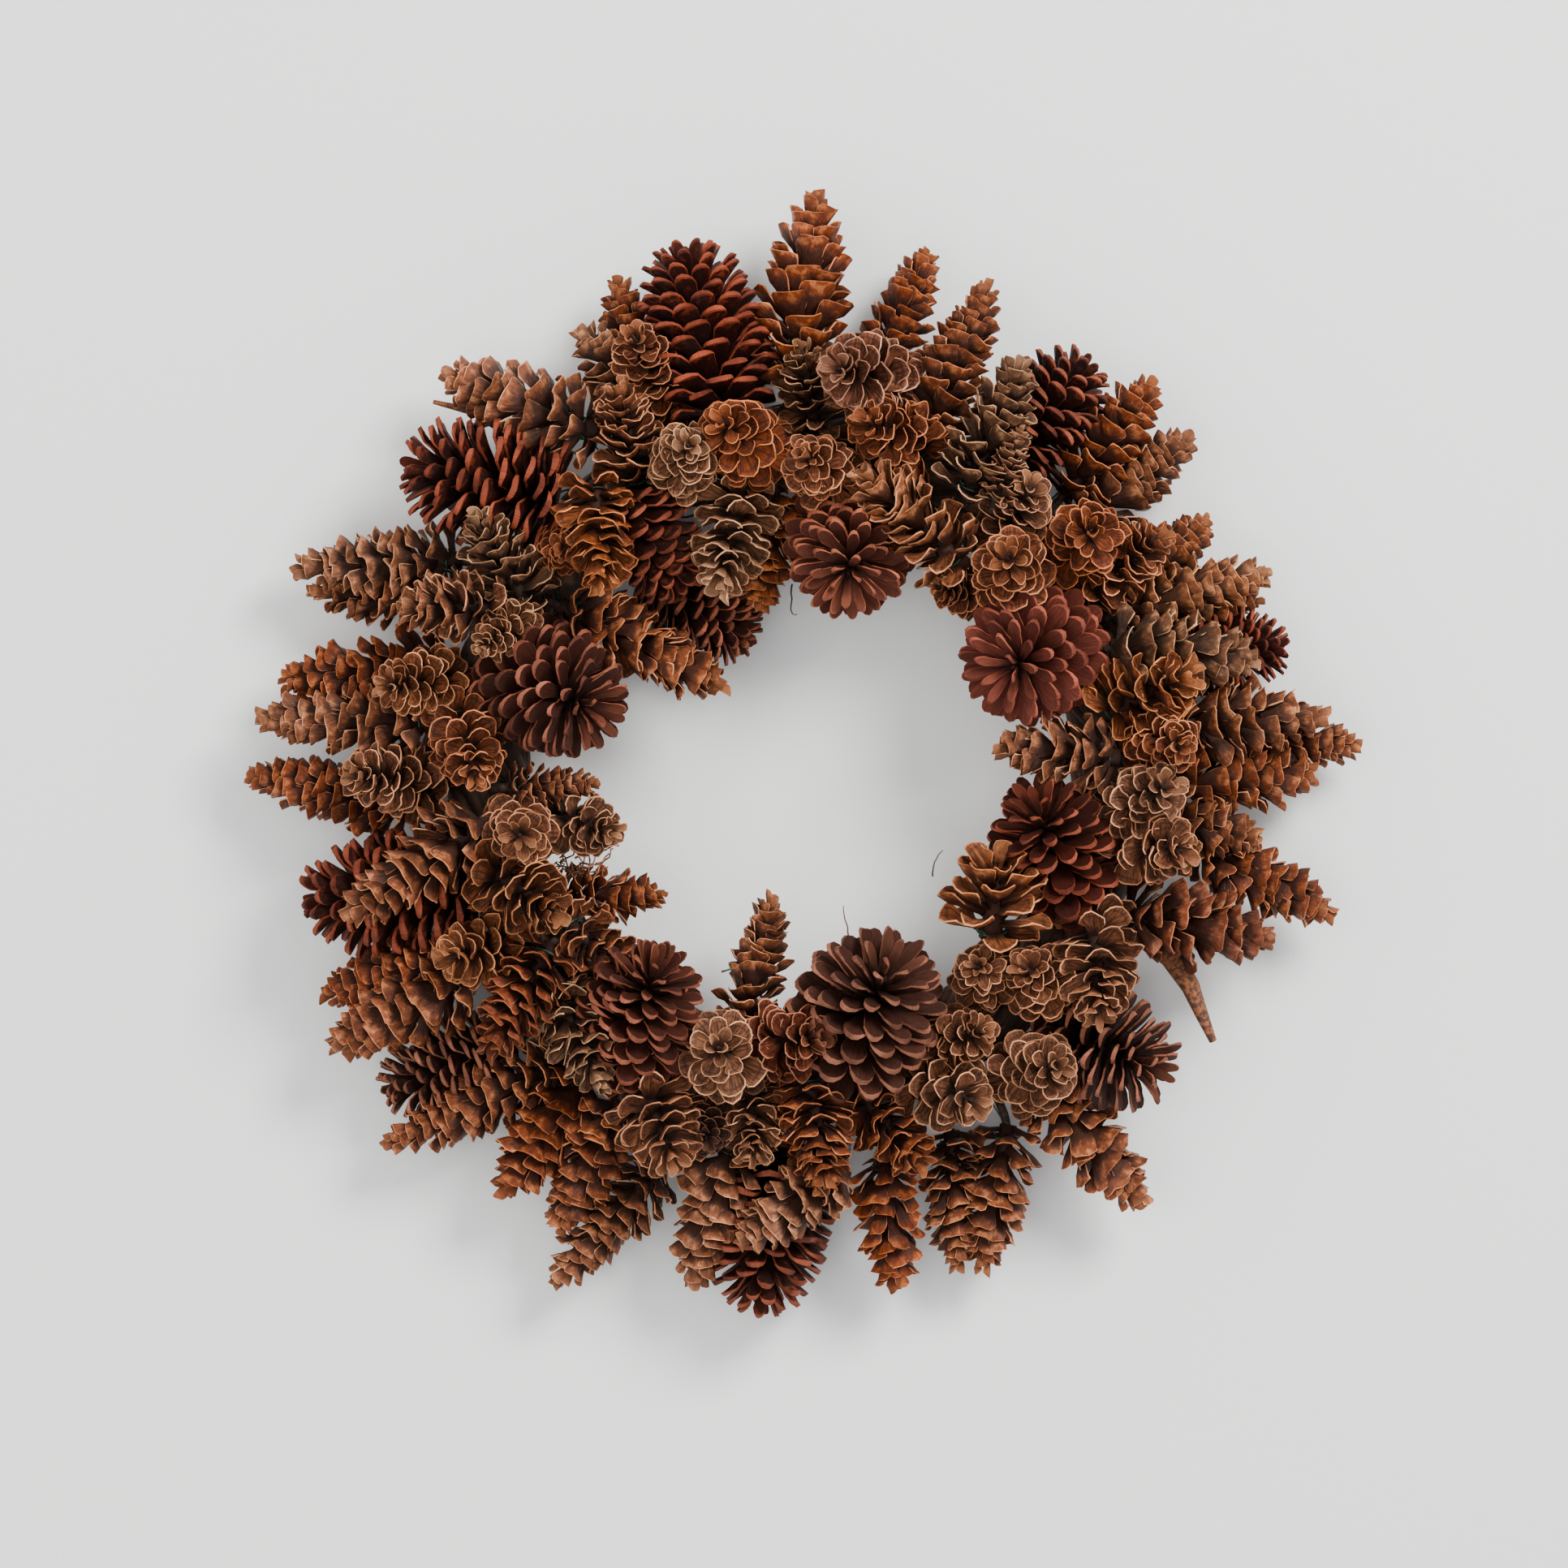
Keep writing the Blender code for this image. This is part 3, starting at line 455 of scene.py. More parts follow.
def loop_route():
    """Round the vine at one side, up that leg, round the eye and back the same way."""
    reach = VINE_RADIUS + LOOP_CLEARANCE + LOOP_RADIUS
    hook = []
    for step in range(HOOK_STEPS + 1):
        winding = math.radians(HOOK_FROM + (HOOK_TO - HOOK_FROM) * step / HOOK_STEPS)
        hook.append(round_the_vine(math.pi / 2.0, winding, reach))
    leg = [(LEG_SPREAD, up, max(off, LOOP_HEIGHT)) for _, up, off in hook]
    leg.append((LEG_SPREAD, NECK_TOP, LOOP_HEIGHT))
    eye_centre = WREATH_CENTRE_DROP + LOOP_RADIUS - EYE_RADIUS
    eye = []
    for step in range(EYE_STEPS + 1):
        share = step / EYE_STEPS
        angle = math.radians(-90.0 + EYE_OPENING + (360.0 - 2.0 * EYE_OPENING) * share)
        eye.append((EYE_RADIUS * math.cos(angle), eye_centre + EYE_RADIUS * math.sin(angle), LOOP_HEIGHT))
    other_leg = [(-across, up, off) for across, up, off in reversed(leg)]
    return leg + eye + other_leg


steel = wire_material("dulled steel", STEEL, STEEL_STAINED, metallic=0.9, roughness=0.35)
loop = one_piece("steel_loop", [wire_mesh("steel_loop", loop_route(), LOOP_RADIUS, steel, LOOP_SIDES)])
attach(loop, "root")
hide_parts("hanging_loop")


# Where the cones lie
# The maker wires the outer cones on first, lying outwards, and then fills the ring with cones
# that stand up off it, pushed in between each other until the vine is hidden.

CONE_TO_VINE = 2.4
LOOP_SPACE = 9.0
WALL_SPACE = 0.6
TOUCH_GAP = 0.3
RING_STEPS = 32
# How the cones settle against each other
SETTLE_ROUNDS = 300
ROUND_SHARE = 0.25  # share of an overlap that one round takes up
NESTING = 0.70  # share of the two radii that is left between two axes
MATE_NESTING = 0.56  # the same in one bunch, whose cones are drawn together
MATE_PULL = 0.12
VINE_NESTING = 0.55
SIDEWAYS = 0.35  # share of a push that acts along the wall; off the wall it acts in full
PULL_BACK_SIDE = 0.04
PULL_BACK_HEIGHT = 0.006
WALL_SHARE = 0.80  # share of its radius that a cone keeps off the wall
ROOT_SHARE = 0.45  # a cone's radius at its two ends, then how fast it grows from them
GROWTH_AT_ROOT = 1.7
GROWTH_AT_TIP = 2.2
AXIS_SAMPLES = 7
LEAST_DISTANCE = 0.5
SMALLEST = 1e-6
# Cones set right one by one after they have settled, as shifts of their root and tip
HAND_SHIFTS = {
    4: ((-2.0, -14.0, 2.0), (0.0, 0.0, 0.0)),
    7: ((0.0, -11.0, 9.0), (0.0, 0.0, 6.0)),
    8: ((-7.0, -5.0, 0.0), (-2.0, 0.0, 0.0)),
    28: ((0.0, 19.0, 18.0), (0.0, 7.0, 12.0)),
    35: ((0.0, 0.0, 0.0), (5.0, -2.0, 16.0)),
    57: ((13.0, 17.0, 10.0), (0.0, 0.0, 0.0)),
    62: ((0.0, -6.0, 4.0), (4.0, -15.0, 20.0)),
    67: ((-6.0, -4.0, 0.0), (-8.0, -5.0, 0.0)),
    98: ((0.0, 0.0, -4.0), (0.0, 0.0, -8.0)),
    101: ((0.0, 4.0, 0.0), (0.0, 7.0, 0.0)),
}

# Each cone: its root and its tip as (right, up, off the wall) from the wreath's centre,
# its width, and its colour. Bunches run clockwise from the top.
SLIM_BUNCHES = (
    (((-4, 191, 52), (10, 305, 48), 48, "brown"), ((9, 168, 62), (2, 220, 100), 36, "grey")),
    (((36, 196, 30), (71, 274, 28), 34, "brown"), ((50, 196, 55), (15, 205, 115), 45, "rose")),
    (((69, 185, 58), (102, 257, 45), 37, "brown"), ((62, 157, 58), (31, 178, 115), 40, "brown")),
    (((19, 144, 62), (-1, 160, 128), 37, "brown"), ((86, 112, 72), (31, 154, 120), 43, "pale")),
    (((87, 145, 72), (120, 213, 100), 41, "grey"), ((103, 131, 95), (118, 177, 112), 20, "brown"),
     ((110, 110, 62), (125, 145, 118), 37, "brown")),
    (((135, 144, 45), (189, 201, 42), 41, "brown"), ((150, 118, 38), (209, 172, 32), 36, "brown")),
    (((145, 112, 55), (153, 121, 122), 43, "brown"), ((150, 85, 60), (194, 121, 92), 38, "brown")),
    (((120, 92, 60), (108, 107, 130), 45, "brown"), ((96, 83, 50), (68, 91, 95), 26, "brown")),
    (((165, 92, 30), (218, 128, 26), 32, "brown"), ((163, 73, 55), (253, 100, 48), 36, "golden"),
     ((185, 72, 30), (246, 86, 28), 34, "brown")),
    (((163, 58, 78), (243, 53, 72), 41, "grey"), ((161, 24, 70), (207, 46, 112), 45, "golden")),
    (((188, 20, 50), (283, 21, 46), 40, "brown"), ((178, 13, 62), (202, 5, 125), 37, "brown")),
    (((192, -14, 48), (277, -11, 40), 38, "brown"), ((215, 16, 28), (303, 6, 26), 34, "brown")),
    (((168, -28, 62), (196, -11, 122), 39, "brown"), ((166, -60, 65), (205, -49, 118), 41, "brown"),
     ((168, -4, 85), (100, -1, 95), 37, "brown")),
    (((205, -44, 42), (287, -86, 36), 36, "brown"), ((185, -28, 55), (244, -43, 58), 34, "brown")),
    (((150, -84, 70), (156, -141, 115), 45, "brown"), ((176, -80, 60), (252, -96, 55), 42, "red")),
    (((97, -86, 55), (104, -48, 105), 52, "golden"), ((98, -120, 50), (90, -110, 112), 34, "brown"),
     ((131, -124, 55), (120, -109, 118), 37, "brown")),
    (((114, -166, 60), (136, -160, 120), 41, "brown"), ((127, -170, 45), (184, -240, 40), 40, "brown")),
    (((67, -147, 60), (101, -141, 112), 34, "brown"), ((60, -172, 48), (95, -181, 100), 44, "brown")),
    (((110, -193, 38), (99, -275, 34), 36, "brown"), ((80, -196, 32), (80, -274, 30), 34, "brown")),
    (((31, -173, 62), (67, -216, 92), 38, "brown"), ((43, -209, 36), (51, -285, 32), 34, "brown")),
    (((6, -166, 70), (13, -230, 98), 40, "brown"), ((24, -212, 70), (-35, -258, 68), 37, "brown")),
    (((-42, -168, 55), (-44, -150, 118), 46, "brown"), ((-22, -150, 62), (15, -144, 118), 40, "rose"),
     ((-26, -135, 45), (-13, -68, 60), 32, "brown")),
    (((-24, -172, 60), (-23, -212, 100), 33, "brown"), ((-36, -200, 38), (-59, -283, 36), 38, "brown")),
    (((-84, -172, 62), (-68, -215, 112), 46, "brown"), ((-45, -185, 45), (-45, -200, 92), 30, "dark")),
    (((-94, -180, 52), (-133, -251, 46), 37, "brown"), ((-72, -215, 28), (-132, -283, 26), 34, "brown")),
    (((-127, -157, 42), (-228, -209, 34), 36, "brown"), ((-108, -168, 48), (-158, -232, 42), 41, "brown")),
    (((-146, -114, 60), (-165, -158, 100), 40, "red"),
     ((-127, -120, 72), (-100, -175, 95), 37, "grey")),
    (((-148, -97, 62), (-187, -105, 112), 40, "golden"), ((-172, -115, 50), (-250, -154, 42), 41, "brown"),
     ((-185, -100, 30), (-256, -126, 28), 34, "brown")),
    (((-123, -80, 60), (-84, -108, 92), 35, "brown"), ((-130, -72, 45), (-67, -72, 55), 30, "brown")),
    (((-166, -28, 88), (-244, -85, 84), 41, "brown"), ((-160, -63, 70), (-123, -83, 118), 43, "grey")),
    (((-154, -11, 88), (-102, -10, 92), 22, "brown"), ((-145, -38, 58), (-138, -37, 125), 40, "brown"),
     ((-127, -30, 52), (-95, -41, 100), 35, "brown")),
    (((-205, -28, 34), (-299, -6, 30), 35, "brown"), ((-191, -13, 60), (-240, -7, 100), 38, "brown")),
    (((-194, 18, 42), (-292, 22, 36), 38, "brown"), ((-176, 24, 65), (-168, -13, 118), 39, "brown")),
    (((-183, 47, 55), (-281, 43, 48), 37, "brown"), ((-191, 32, 28), (-277, 29, 26), 34, "brown"),
     ((-178, 44, 72), (-221, 38, 112), 36, "pale")),
    (((-178, 105, 44), (-274, 101, 38), 37, "brown"), ((-183, 84, 30), (-263, 88, 28), 34, "brown")),
    (((-143, 80, 65), (-171, 130, 95), 38, "grey"), ((-157, 80, 68), (-212, 80, 100), 38, "brown"),
     ((-143, 72, 85), (-169, 56, 118), 26, "pale")),
    (((-126, 80, 64), (-32, 34, 75), 40, "brown"),),
    (((-106, 144, 78), (-100, 87, 110), 40, "golden"), ((-128, 112, 55), (-125, 109, 108), 26, "brown")),
    (((-84, 142, 62), (-95, 200, 100), 38, "brown"), ((-107, 172, 50), (-194, 205, 44), 43, "brown")),
    (((-65, 183, 55), (-90, 227, 110), 38, "brown"), ((-76, 184, 36), (-97, 257, 32), 35, "brown"),
     ((-72, 180, 58), (-118, 230, 52), 34, "brown")),
    (((-63, 150, 60), (-65, 160, 128), 36, "pale"), ((-24, 161, 58), (-35, 183, 125), 43, "brown")),
    (((-37, 144, 70), (-43, 84, 105), 42, "pale"), ((-7, 142, 45), (-21, 73, 45), 32, "golden")),
)
BROAD_BUNCHES = (
    (((-45, 178, 55), (-64, 273, 42), 65, "dark"),),
    (((28, 130, 45), (25, 88, 115), 69, "red"),),
    (((110, 161, 55), (153, 209, 40), 56, "dark"),),
    (((133, 62, 52), (106, 44, 118), 72, "dusty"),),
    (((190, 58, 38), (260, 58, 30), 46, "dark"),),
    (((140, -67, 58), (122, -20, 105), 68, "dark"),),
    (((135, -140, 45), (191, -166, 75), 65, "dark"),),
    (((24, -153, 70), (49, -105, 120), 78, "dark"),),
    (((-11, -205, 40), (-22, -303, 38), 66, "dark"),),
    (((-92, -153, 55), (-73, -103, 100), 66, "dark"),),
    (((-150, -150, 30), (-224, -178, 28), 50, "dark"),),
    (((-170, -67, 60), (-262, -75, 50), 68, "dark"),),
    (((-148, 45, 60), (-103, 24, 110), 70, "dark"),),
    (((-127, 135, 58), (-209, 157, 62), 66, "dark"),),
    (((-95, 140, 62), (-60, 88, 66), 52, "dark"), ((-80, 98, 30), (-24, 60, 38), 50, "dark")),
)


def nearest(start_a, end_a, start_b, end_b):
    """How far along two straight axes, from 0 to 1, their nearest points lie, and the points."""
    run_a = end_a - start_a
    run_b = end_b - start_b
    apart = start_a - start_b
    aa = np.sum(run_a * run_a, axis=-1)
    bb = np.sum(run_b * run_b, axis=-1)
    ab = np.sum(run_a * run_b, axis=-1)
    a_apart = np.sum(run_a * apart, axis=-1)
    b_apart = np.sum(run_b * apart, axis=-1)
    parallel_guard = np.maximum(aa * bb - ab * ab, SMALLEST)
    share_a = np.clip((ab * b_apart - a_apart * bb) / parallel_guard, 0.0, 1.0)
    share_b = np.clip((ab * share_a + b_apart) / bb, 0.0, 1.0)
    share_a = np.clip((ab * share_b - a_apart) / aa, 0.0, 1.0)
    return share_a, share_b, start_a + share_a[:, None] * run_a, start_b + share_b[:, None] * run_b


def girth(share):
    """A cone's radius along its axis, as a share of its widest."""
    towards_root = np.clip(ROOT_SHARE + GROWTH_AT_ROOT * share, 0.0, 1.0)
    towards_tip = np.clip(ROOT_SHARE + GROWTH_AT_TIP * (1.0 - share), 0.0, 1.0)
    return np.minimum(towards_root, towards_tip)


def settle(roots, tips, radii, bunch_of):
    """Lets crowded cones give way to each other, to the vine and to the wall."""
    first_roots, first_tips = roots.copy(), tips.copy()
    one, other = np.triu_indices(len(radii), 1)
    mates = bunch_of[one] == bunch_of[other]
    nesting = np.where(mates, MATE_NESTING, NESTING)
    ease = np.array((SIDEWAYS, SIDEWAYS, 1.0))
    samples = np.linspace(0.0, 1.0, AXIS_SAMPLES)
    for _ in range(SETTLE_ROUNDS):
        move_root = np.zeros_like(roots)
        move_tip = np.zeros_like(tips)
        share_a, share_b, near, far = nearest(roots[one], tips[one], roots[other], tips[other])
        between = far - near
        distance = np.linalg.norm(between, axis=1)
        wanted = nesting * (radii[one] * girth(share_a) + radii[other] * girth(share_b))
        short = wanted - distance
        pulled = mates & (short < 0.0)
        push = np.where(pulled, short * MATE_PULL, np.maximum(short, 0.0) * ROUND_SHARE)
        direction = between / np.maximum(distance, LEAST_DISTANCE)[:, None] * ease
        shift = direction * push[:, None]
        np.add.at(move_root, one, -shift * (1.0 - share_a)[:, None])
        np.add.at(move_tip, one, -shift * share_a[:, None])
        np.add.at(move_root, other, shift * (1.0 - share_b)[:, None])
        np.add.at(move_tip, other, shift * share_b[:, None])
        for share in samples:
            place = roots + share * (tips - roots)
            reach = np.hypot(place[:, 0], place[:, 1])
            across = reach - RING_RADIUS
            above = place[:, 2] - VINE_HEIGHT
            off_vine = np.maximum(np.hypot(across, above), LEAST_DISTANCE)
            wanted = VINE_RADIUS + CONE_TO_VINE + VINE_NESTING * radii * girth(share)
            push = np.maximum(wanted - off_vine, 0.0) * ROUND_SHARE
            outward = place[:, :2] / np.maximum(reach, LEAST_DISTANCE)[:, None]
            shift = outward * (across / off_vine * push)[:, None]
            shift = np.column_stack((shift, above / off_vine * push))
            lowest = WALL_SHARE * radii * girth(share) + WALL_SPACE
            shift[:, 2] += np.maximum(lowest - place[:, 2], 0.0) * ROUND_SHARE
            move_root += shift * (1.0 - share)
            move_tip += shift * share
        back = np.array((PULL_BACK_SIDE, PULL_BACK_SIDE, PULL_BACK_HEIGHT))
        roots = roots + move_root + (first_roots - roots) * back
        tips = tips + move_tip + (first_tips - tips) * back
    return roots, tips


def obstacle_axes():
    """The vine as short straight lengths and the loop as one, with the space each needs."""
    turn = np.linspace(0.0, 2.0 * math.pi, RING_STEPS + 1)
    flat = np.full(len(turn), VINE_HEIGHT)
    centres = np.stack((RING_RADIUS * np.cos(turn), RING_RADIUS * np.sin(turn), flat), axis=1)
    starts = np.vstack((centres[:-1], (0.0, RING_RADIUS, LOOP_HEIGHT)))
    ends = np.vstack((centres[1:], (0.0, WREATH_CENTRE_DROP, LOOP_HEIGHT)))
    spaces = np.full(RING_STEPS + 1, VINE_RADIUS + CONE_TO_VINE)
    spaces[-1] = LOOP_SPACE
    return starts, ends, spaces


def room_for(index):
    """The planes round a cone's own room: their outward directions and distances.

    They stand between it and the cones of other bunches, the vine, the loop and the wall.
    """
    axis = roots[index], tips[index]
    others = np.flatnonzero(bunch_of != bunch_of[index])
    own_share, their_share, near, far = nearest(*axis, roots[others], tips[others])
    own = radii[index] * girth(own_share)
    theirs = radii[others] * girth(their_share)
    from_cones = unit(far - near)
    border = near + (far - near) * (own / (own + theirs))[:, None]
    cone_limits = np.sum(from_cones * border, axis=1) - TOUCH_GAP / 2.0

    starts, ends, spaces = obstacle_axes()
    _, _, near, far = nearest(*axis, starts, ends)
    from_vine = unit(far - near)
    vine_limits = np.sum(from_vine * far, axis=1) - spaces
    outward = np.vstack((from_cones, from_vine, (0.0, 0.0, -1.0)))
    return outward, np.concatenate((cone_limits, vine_limits, (-WALL_SPACE,)))


bunches = [(f"slim_cones_{place:02d}", bunch) for place, bunch in enumerate(SLIM_BUNCHES, 1)]
bunches += [(f"broad_cone_{place:02d}", bunch) for place, bunch in enumerate(BROAD_BUNCHES, 1)]
cones = [cone for _, bunch in bunches for cone in bunch]
bunch_of = np.array([place for place, (_, bunch) in enumerate(bunches) for _ in bunch])
radii = np.array([cone[2] / 2.0 for cone in cones])
wanted_roots = np.array([cone[0] for cone in cones], dtype=float)
wanted_tips = np.array([cone[1] for cone in cones], dtype=float)
roots, tips = settle(wanted_roots, wanted_tips, radii, bunch_of)
for index, (root_shift, tip_shift) in HAND_SHIFTS.items():
    roots[index] += root_shift
    tips[index] += tip_shift


# The slim cones
# Long open cones of a white pine, with thin spoon-shaped scales in a spiral round a woody
# core, brown inside, orange outside and pale at the rim. Each is wired to the vine by its
# stalk end, the outer ones lying outwards and the others standing up with their tips out.

# One scale: its width along its length, how round its end is, then how it is dished and how
# thick it is at its edge and, along its length, in its middle
SLIM_OUTLINE = ((0.0, 0.36), (0.30, 0.54), (0.58, 0.82), (0.82, 1.0), (1.0, 0.93))
SLIM_SWELL = ((0.0, 0.16), (0.45, 0.09), (0.78, 0.13), (0.93, 0.08), (1.0, 0.0))
SLIM_SCALE = {"rounding": 0.27, "dish": 0.27, "rim": 0.032, "lip": 0.024, "keel": 1.3}
SLIM_GRID = (6, 3)  # faces across and along
ROW_CROWDING = 1.25  # above 1, the rows of faces lie closer together towards the scale's end
SLIM_CONE = {
    "width": 0.43,  # of a scale, to the width of its cone
    "core": 0.25,  # radius, to the cone's
    "narrowing": 0.25,  # share of that width lost on a cone that stands off the wall
    "spacing": 0.040,  # of the axis for each scale, to the width of the cone
    "middle lean": 0.55,
    "lying": 0.83,  # how far the scales have opened on a cone that lies along the wall
    "standing": 1.10,  # and on one that stands off it
    "raggedness": 1.05,
}
# Along a cone from its stalk end to its tip: a scale's length, its lean and its width
SLIM_LENGTHS = (
    (0.0, 0.80), (0.12, 0.95), (0.35, 1.0), (0.58, 0.96), (0.80, 0.80), (0.92, 0.68), (1.0, 0.60),
)
SLIM_LEANS = ((0.0, 0.92), (0.20, 0.69), (0.50, 0.55), (0.80, 0.44), (0.93, 0.35), (1.0, 0.14))
SLIM_WIDTHS = ((0.0, 0.90), (0.20, 1.04), (0.55, 0.98), (0.78, 0.76), (0.90, 0.52), (1.0, 0.34))
SLIM_LAST = 0.84  # share of the axis where the last scale grows
FIRST_SCALE = 0.03  # and where the first one does
FULL_LEAN = 120.0  # degrees from the cone's tip end, for a lean of 1
GOLDEN_ANGLE = math.radians(137.508)
SCALE_REACH = 1.14  # of a scale across its cone, to the space between core and outside
CORE_SIDES, CORE_ROWS = 9, 5
CORE_TAPER = 0.84
CORE_TOP, CORE_FOOT, CORE_BEYOND = 0.16, 1.05, 0.03
# How far one scale differs from the next on a cone of raggedness 1, in radians or shares
TURN_SPREAD, LEAN_SPREAD, ROLL_SPREAD = 0.20, 0.20, 0.30
LENGTH_SPREAD, WIDTH_SPREAD = 0.11, 0.12
CURL, CURL_SPREAD = 0.10, 0.13
WARP, WARP_SCALE = 4.6, 0.11
WARPS_APART = 17.0  # from one scale's place in the warp's noise to the next one's
ARC_EASE = 0.55  # how much of a scale's curl straightens out again at its end
# How far one cone differs from the next
CONE_SEED = 11
OPENNESS_RANGE = (0.95, 1.07)
WIDTH_RANGE = (0.94, 1.06)
RAGGED_RANGE = (0.8, 1.3)

# How a scale closes up where its cone has no room
CLOSING_STEP = math.radians(6.0)
CLOSING_ROUNDS = 6
CROWDING = 9.0  # mm by which neighbouring cones reach in between each other's scales
LEAST_SPREAD = 0.12  # share of its length that a scale still has to reach out to close further

SIDE_GUIDE = (0.31, 0.17, 0.94)  # a heading that no cone's axis has
STALK_STEPS = 6
STALK_RADIUS = 2.3
STALK_START, STALK_BEND = 0.06, -0.10  # shares of the cone's axis
STALK_REACH = 0.62  # of the vine's radius, from its centre to where a stalk ends
WRAP_TURNS = 1.6
WRAP_STEPS = 22
WRAP_PLACE = 0.07  # share of the cone's axis
WRAP_LENGTH = 2.2
WRAP_RADIUS = 0.5
WRAP_CLEARANCE = 1.6
TAIL_CLEARANCE, TAIL_SLACK = 0.4, 1.5


def scale_shape(name, grid, outline, swell, rounding, dish, rim, lip, keel):
    """One scale along +X, of unit length and width, with its inner face towards +Z.

    Its vertices keep their place on the scale: across, along, and 0 inside or 1 outside.
    """
    faces_across, faces_along = grid
    turn = np.linspace(-math.pi / 2.0, math.pi / 2.0, faces_across + 1)
    along = 1.0 - (1.0 - np.linspace(0.0, 1.0, faces_along + 1)) ** ROW_CROWDING
    along, turn = (values.ravel() for values in np.meshgrid(along, turn, indexing="ij"))
    across = np.sin(turn)
    width = np.interp(along, *zip(*outline))
    x = along * (1.0 - rounding * (1.0 - np.cos(turn)) * along**3)
    y = across * width / 2.0
    inner = np.stack((x, y, dish * (across * width) ** 2 * along), axis=1)
    thickness = rim + np.interp(along, *zip(*swell)) * (1.0 - np.abs(across) ** keel)
    outer = inner + np.stack((lip * along**6, lip * y * 2.0, -thickness), axis=1)

    columns = faces_across + 1
    side = (faces_along + 1) * columns
    faces = []
    for row in range(faces_along):
        for column in range(faces_across):
            near = row * columns + column
            quad = (near, near + columns, near + columns + 1, near + 1)
            faces.append(quad)
            faces.append(tuple(corner + side for corner in reversed(quad)))
    edge = [row * columns for row in range(faces_along + 1)]
    edge += [faces_along * columns + column for column in range(1, columns)]
    edge += [row * columns + faces_across for row in reversed(range(faces_along))]
    edge += list(reversed(range(1, faces_across)))
    for here, onward in zip(edge, edge[1:] + edge[:1]):
        faces.append((here, here + side, onward + side, onward))
    mesh = bpy.data.meshes.new(name)
    mesh.from_pydata(np.vstack((inner, outer)).tolist(), [], faces)
    creases = {frozenset(pair) for pair in zip(edge, edge[1:] + edge[:1])}
    creases |= {frozenset(corner + side for corner in pair) for pair in creases}
    for line in mesh.edges:
        line.use_edge_sharp = frozenset(line.vertices) in creases
    spot = mesh.attributes.new("spot", "FLOAT_VECTOR", "POINT")
    places = np.stack((np.tile(across, 2), np.tile(along, 2), np.repeat((0.0, 1.0), side)), axis=1)
    spot.data.foreach_set("vector", places.ravel())
    shape = bpy.data.objects.new(name, mesh)
    bpy.context.scene.collection.objects.link(shape)
    return shape


def follow(share, points):
    """A smooth curve through points, read at a share."""
    read_off = node(share.tree, "ShaderNodeFloatCurve", {"Value": share})
    mapping = read_off.socket.node.mapping
    line = mapping.curves[0]
    line.points[0].location, line.points[-1].location = points[0], points[-1]
    for place in points[1:-1]:
        line.points.new(*place)
    mapping.update()
    return read_off


def draw(given, number, spread):
    """A different random value for each scale, between minus and plus the spread."""
    seed = given["Seed"] * 10.0 + float(number)
    inputs = {8: seed, 2: spread * -1.0, 3: spread}
    return node(seed.tree, "FunctionNodeRandomValue", inputs, 1, data_type="FLOAT")


def carried(tree, name):
    """The value that points carry under a name."""
    return node(tree, "GeometryNodeInputNamedAttribute", {"Name": name}, data_type="FLOAT_VECTOR")


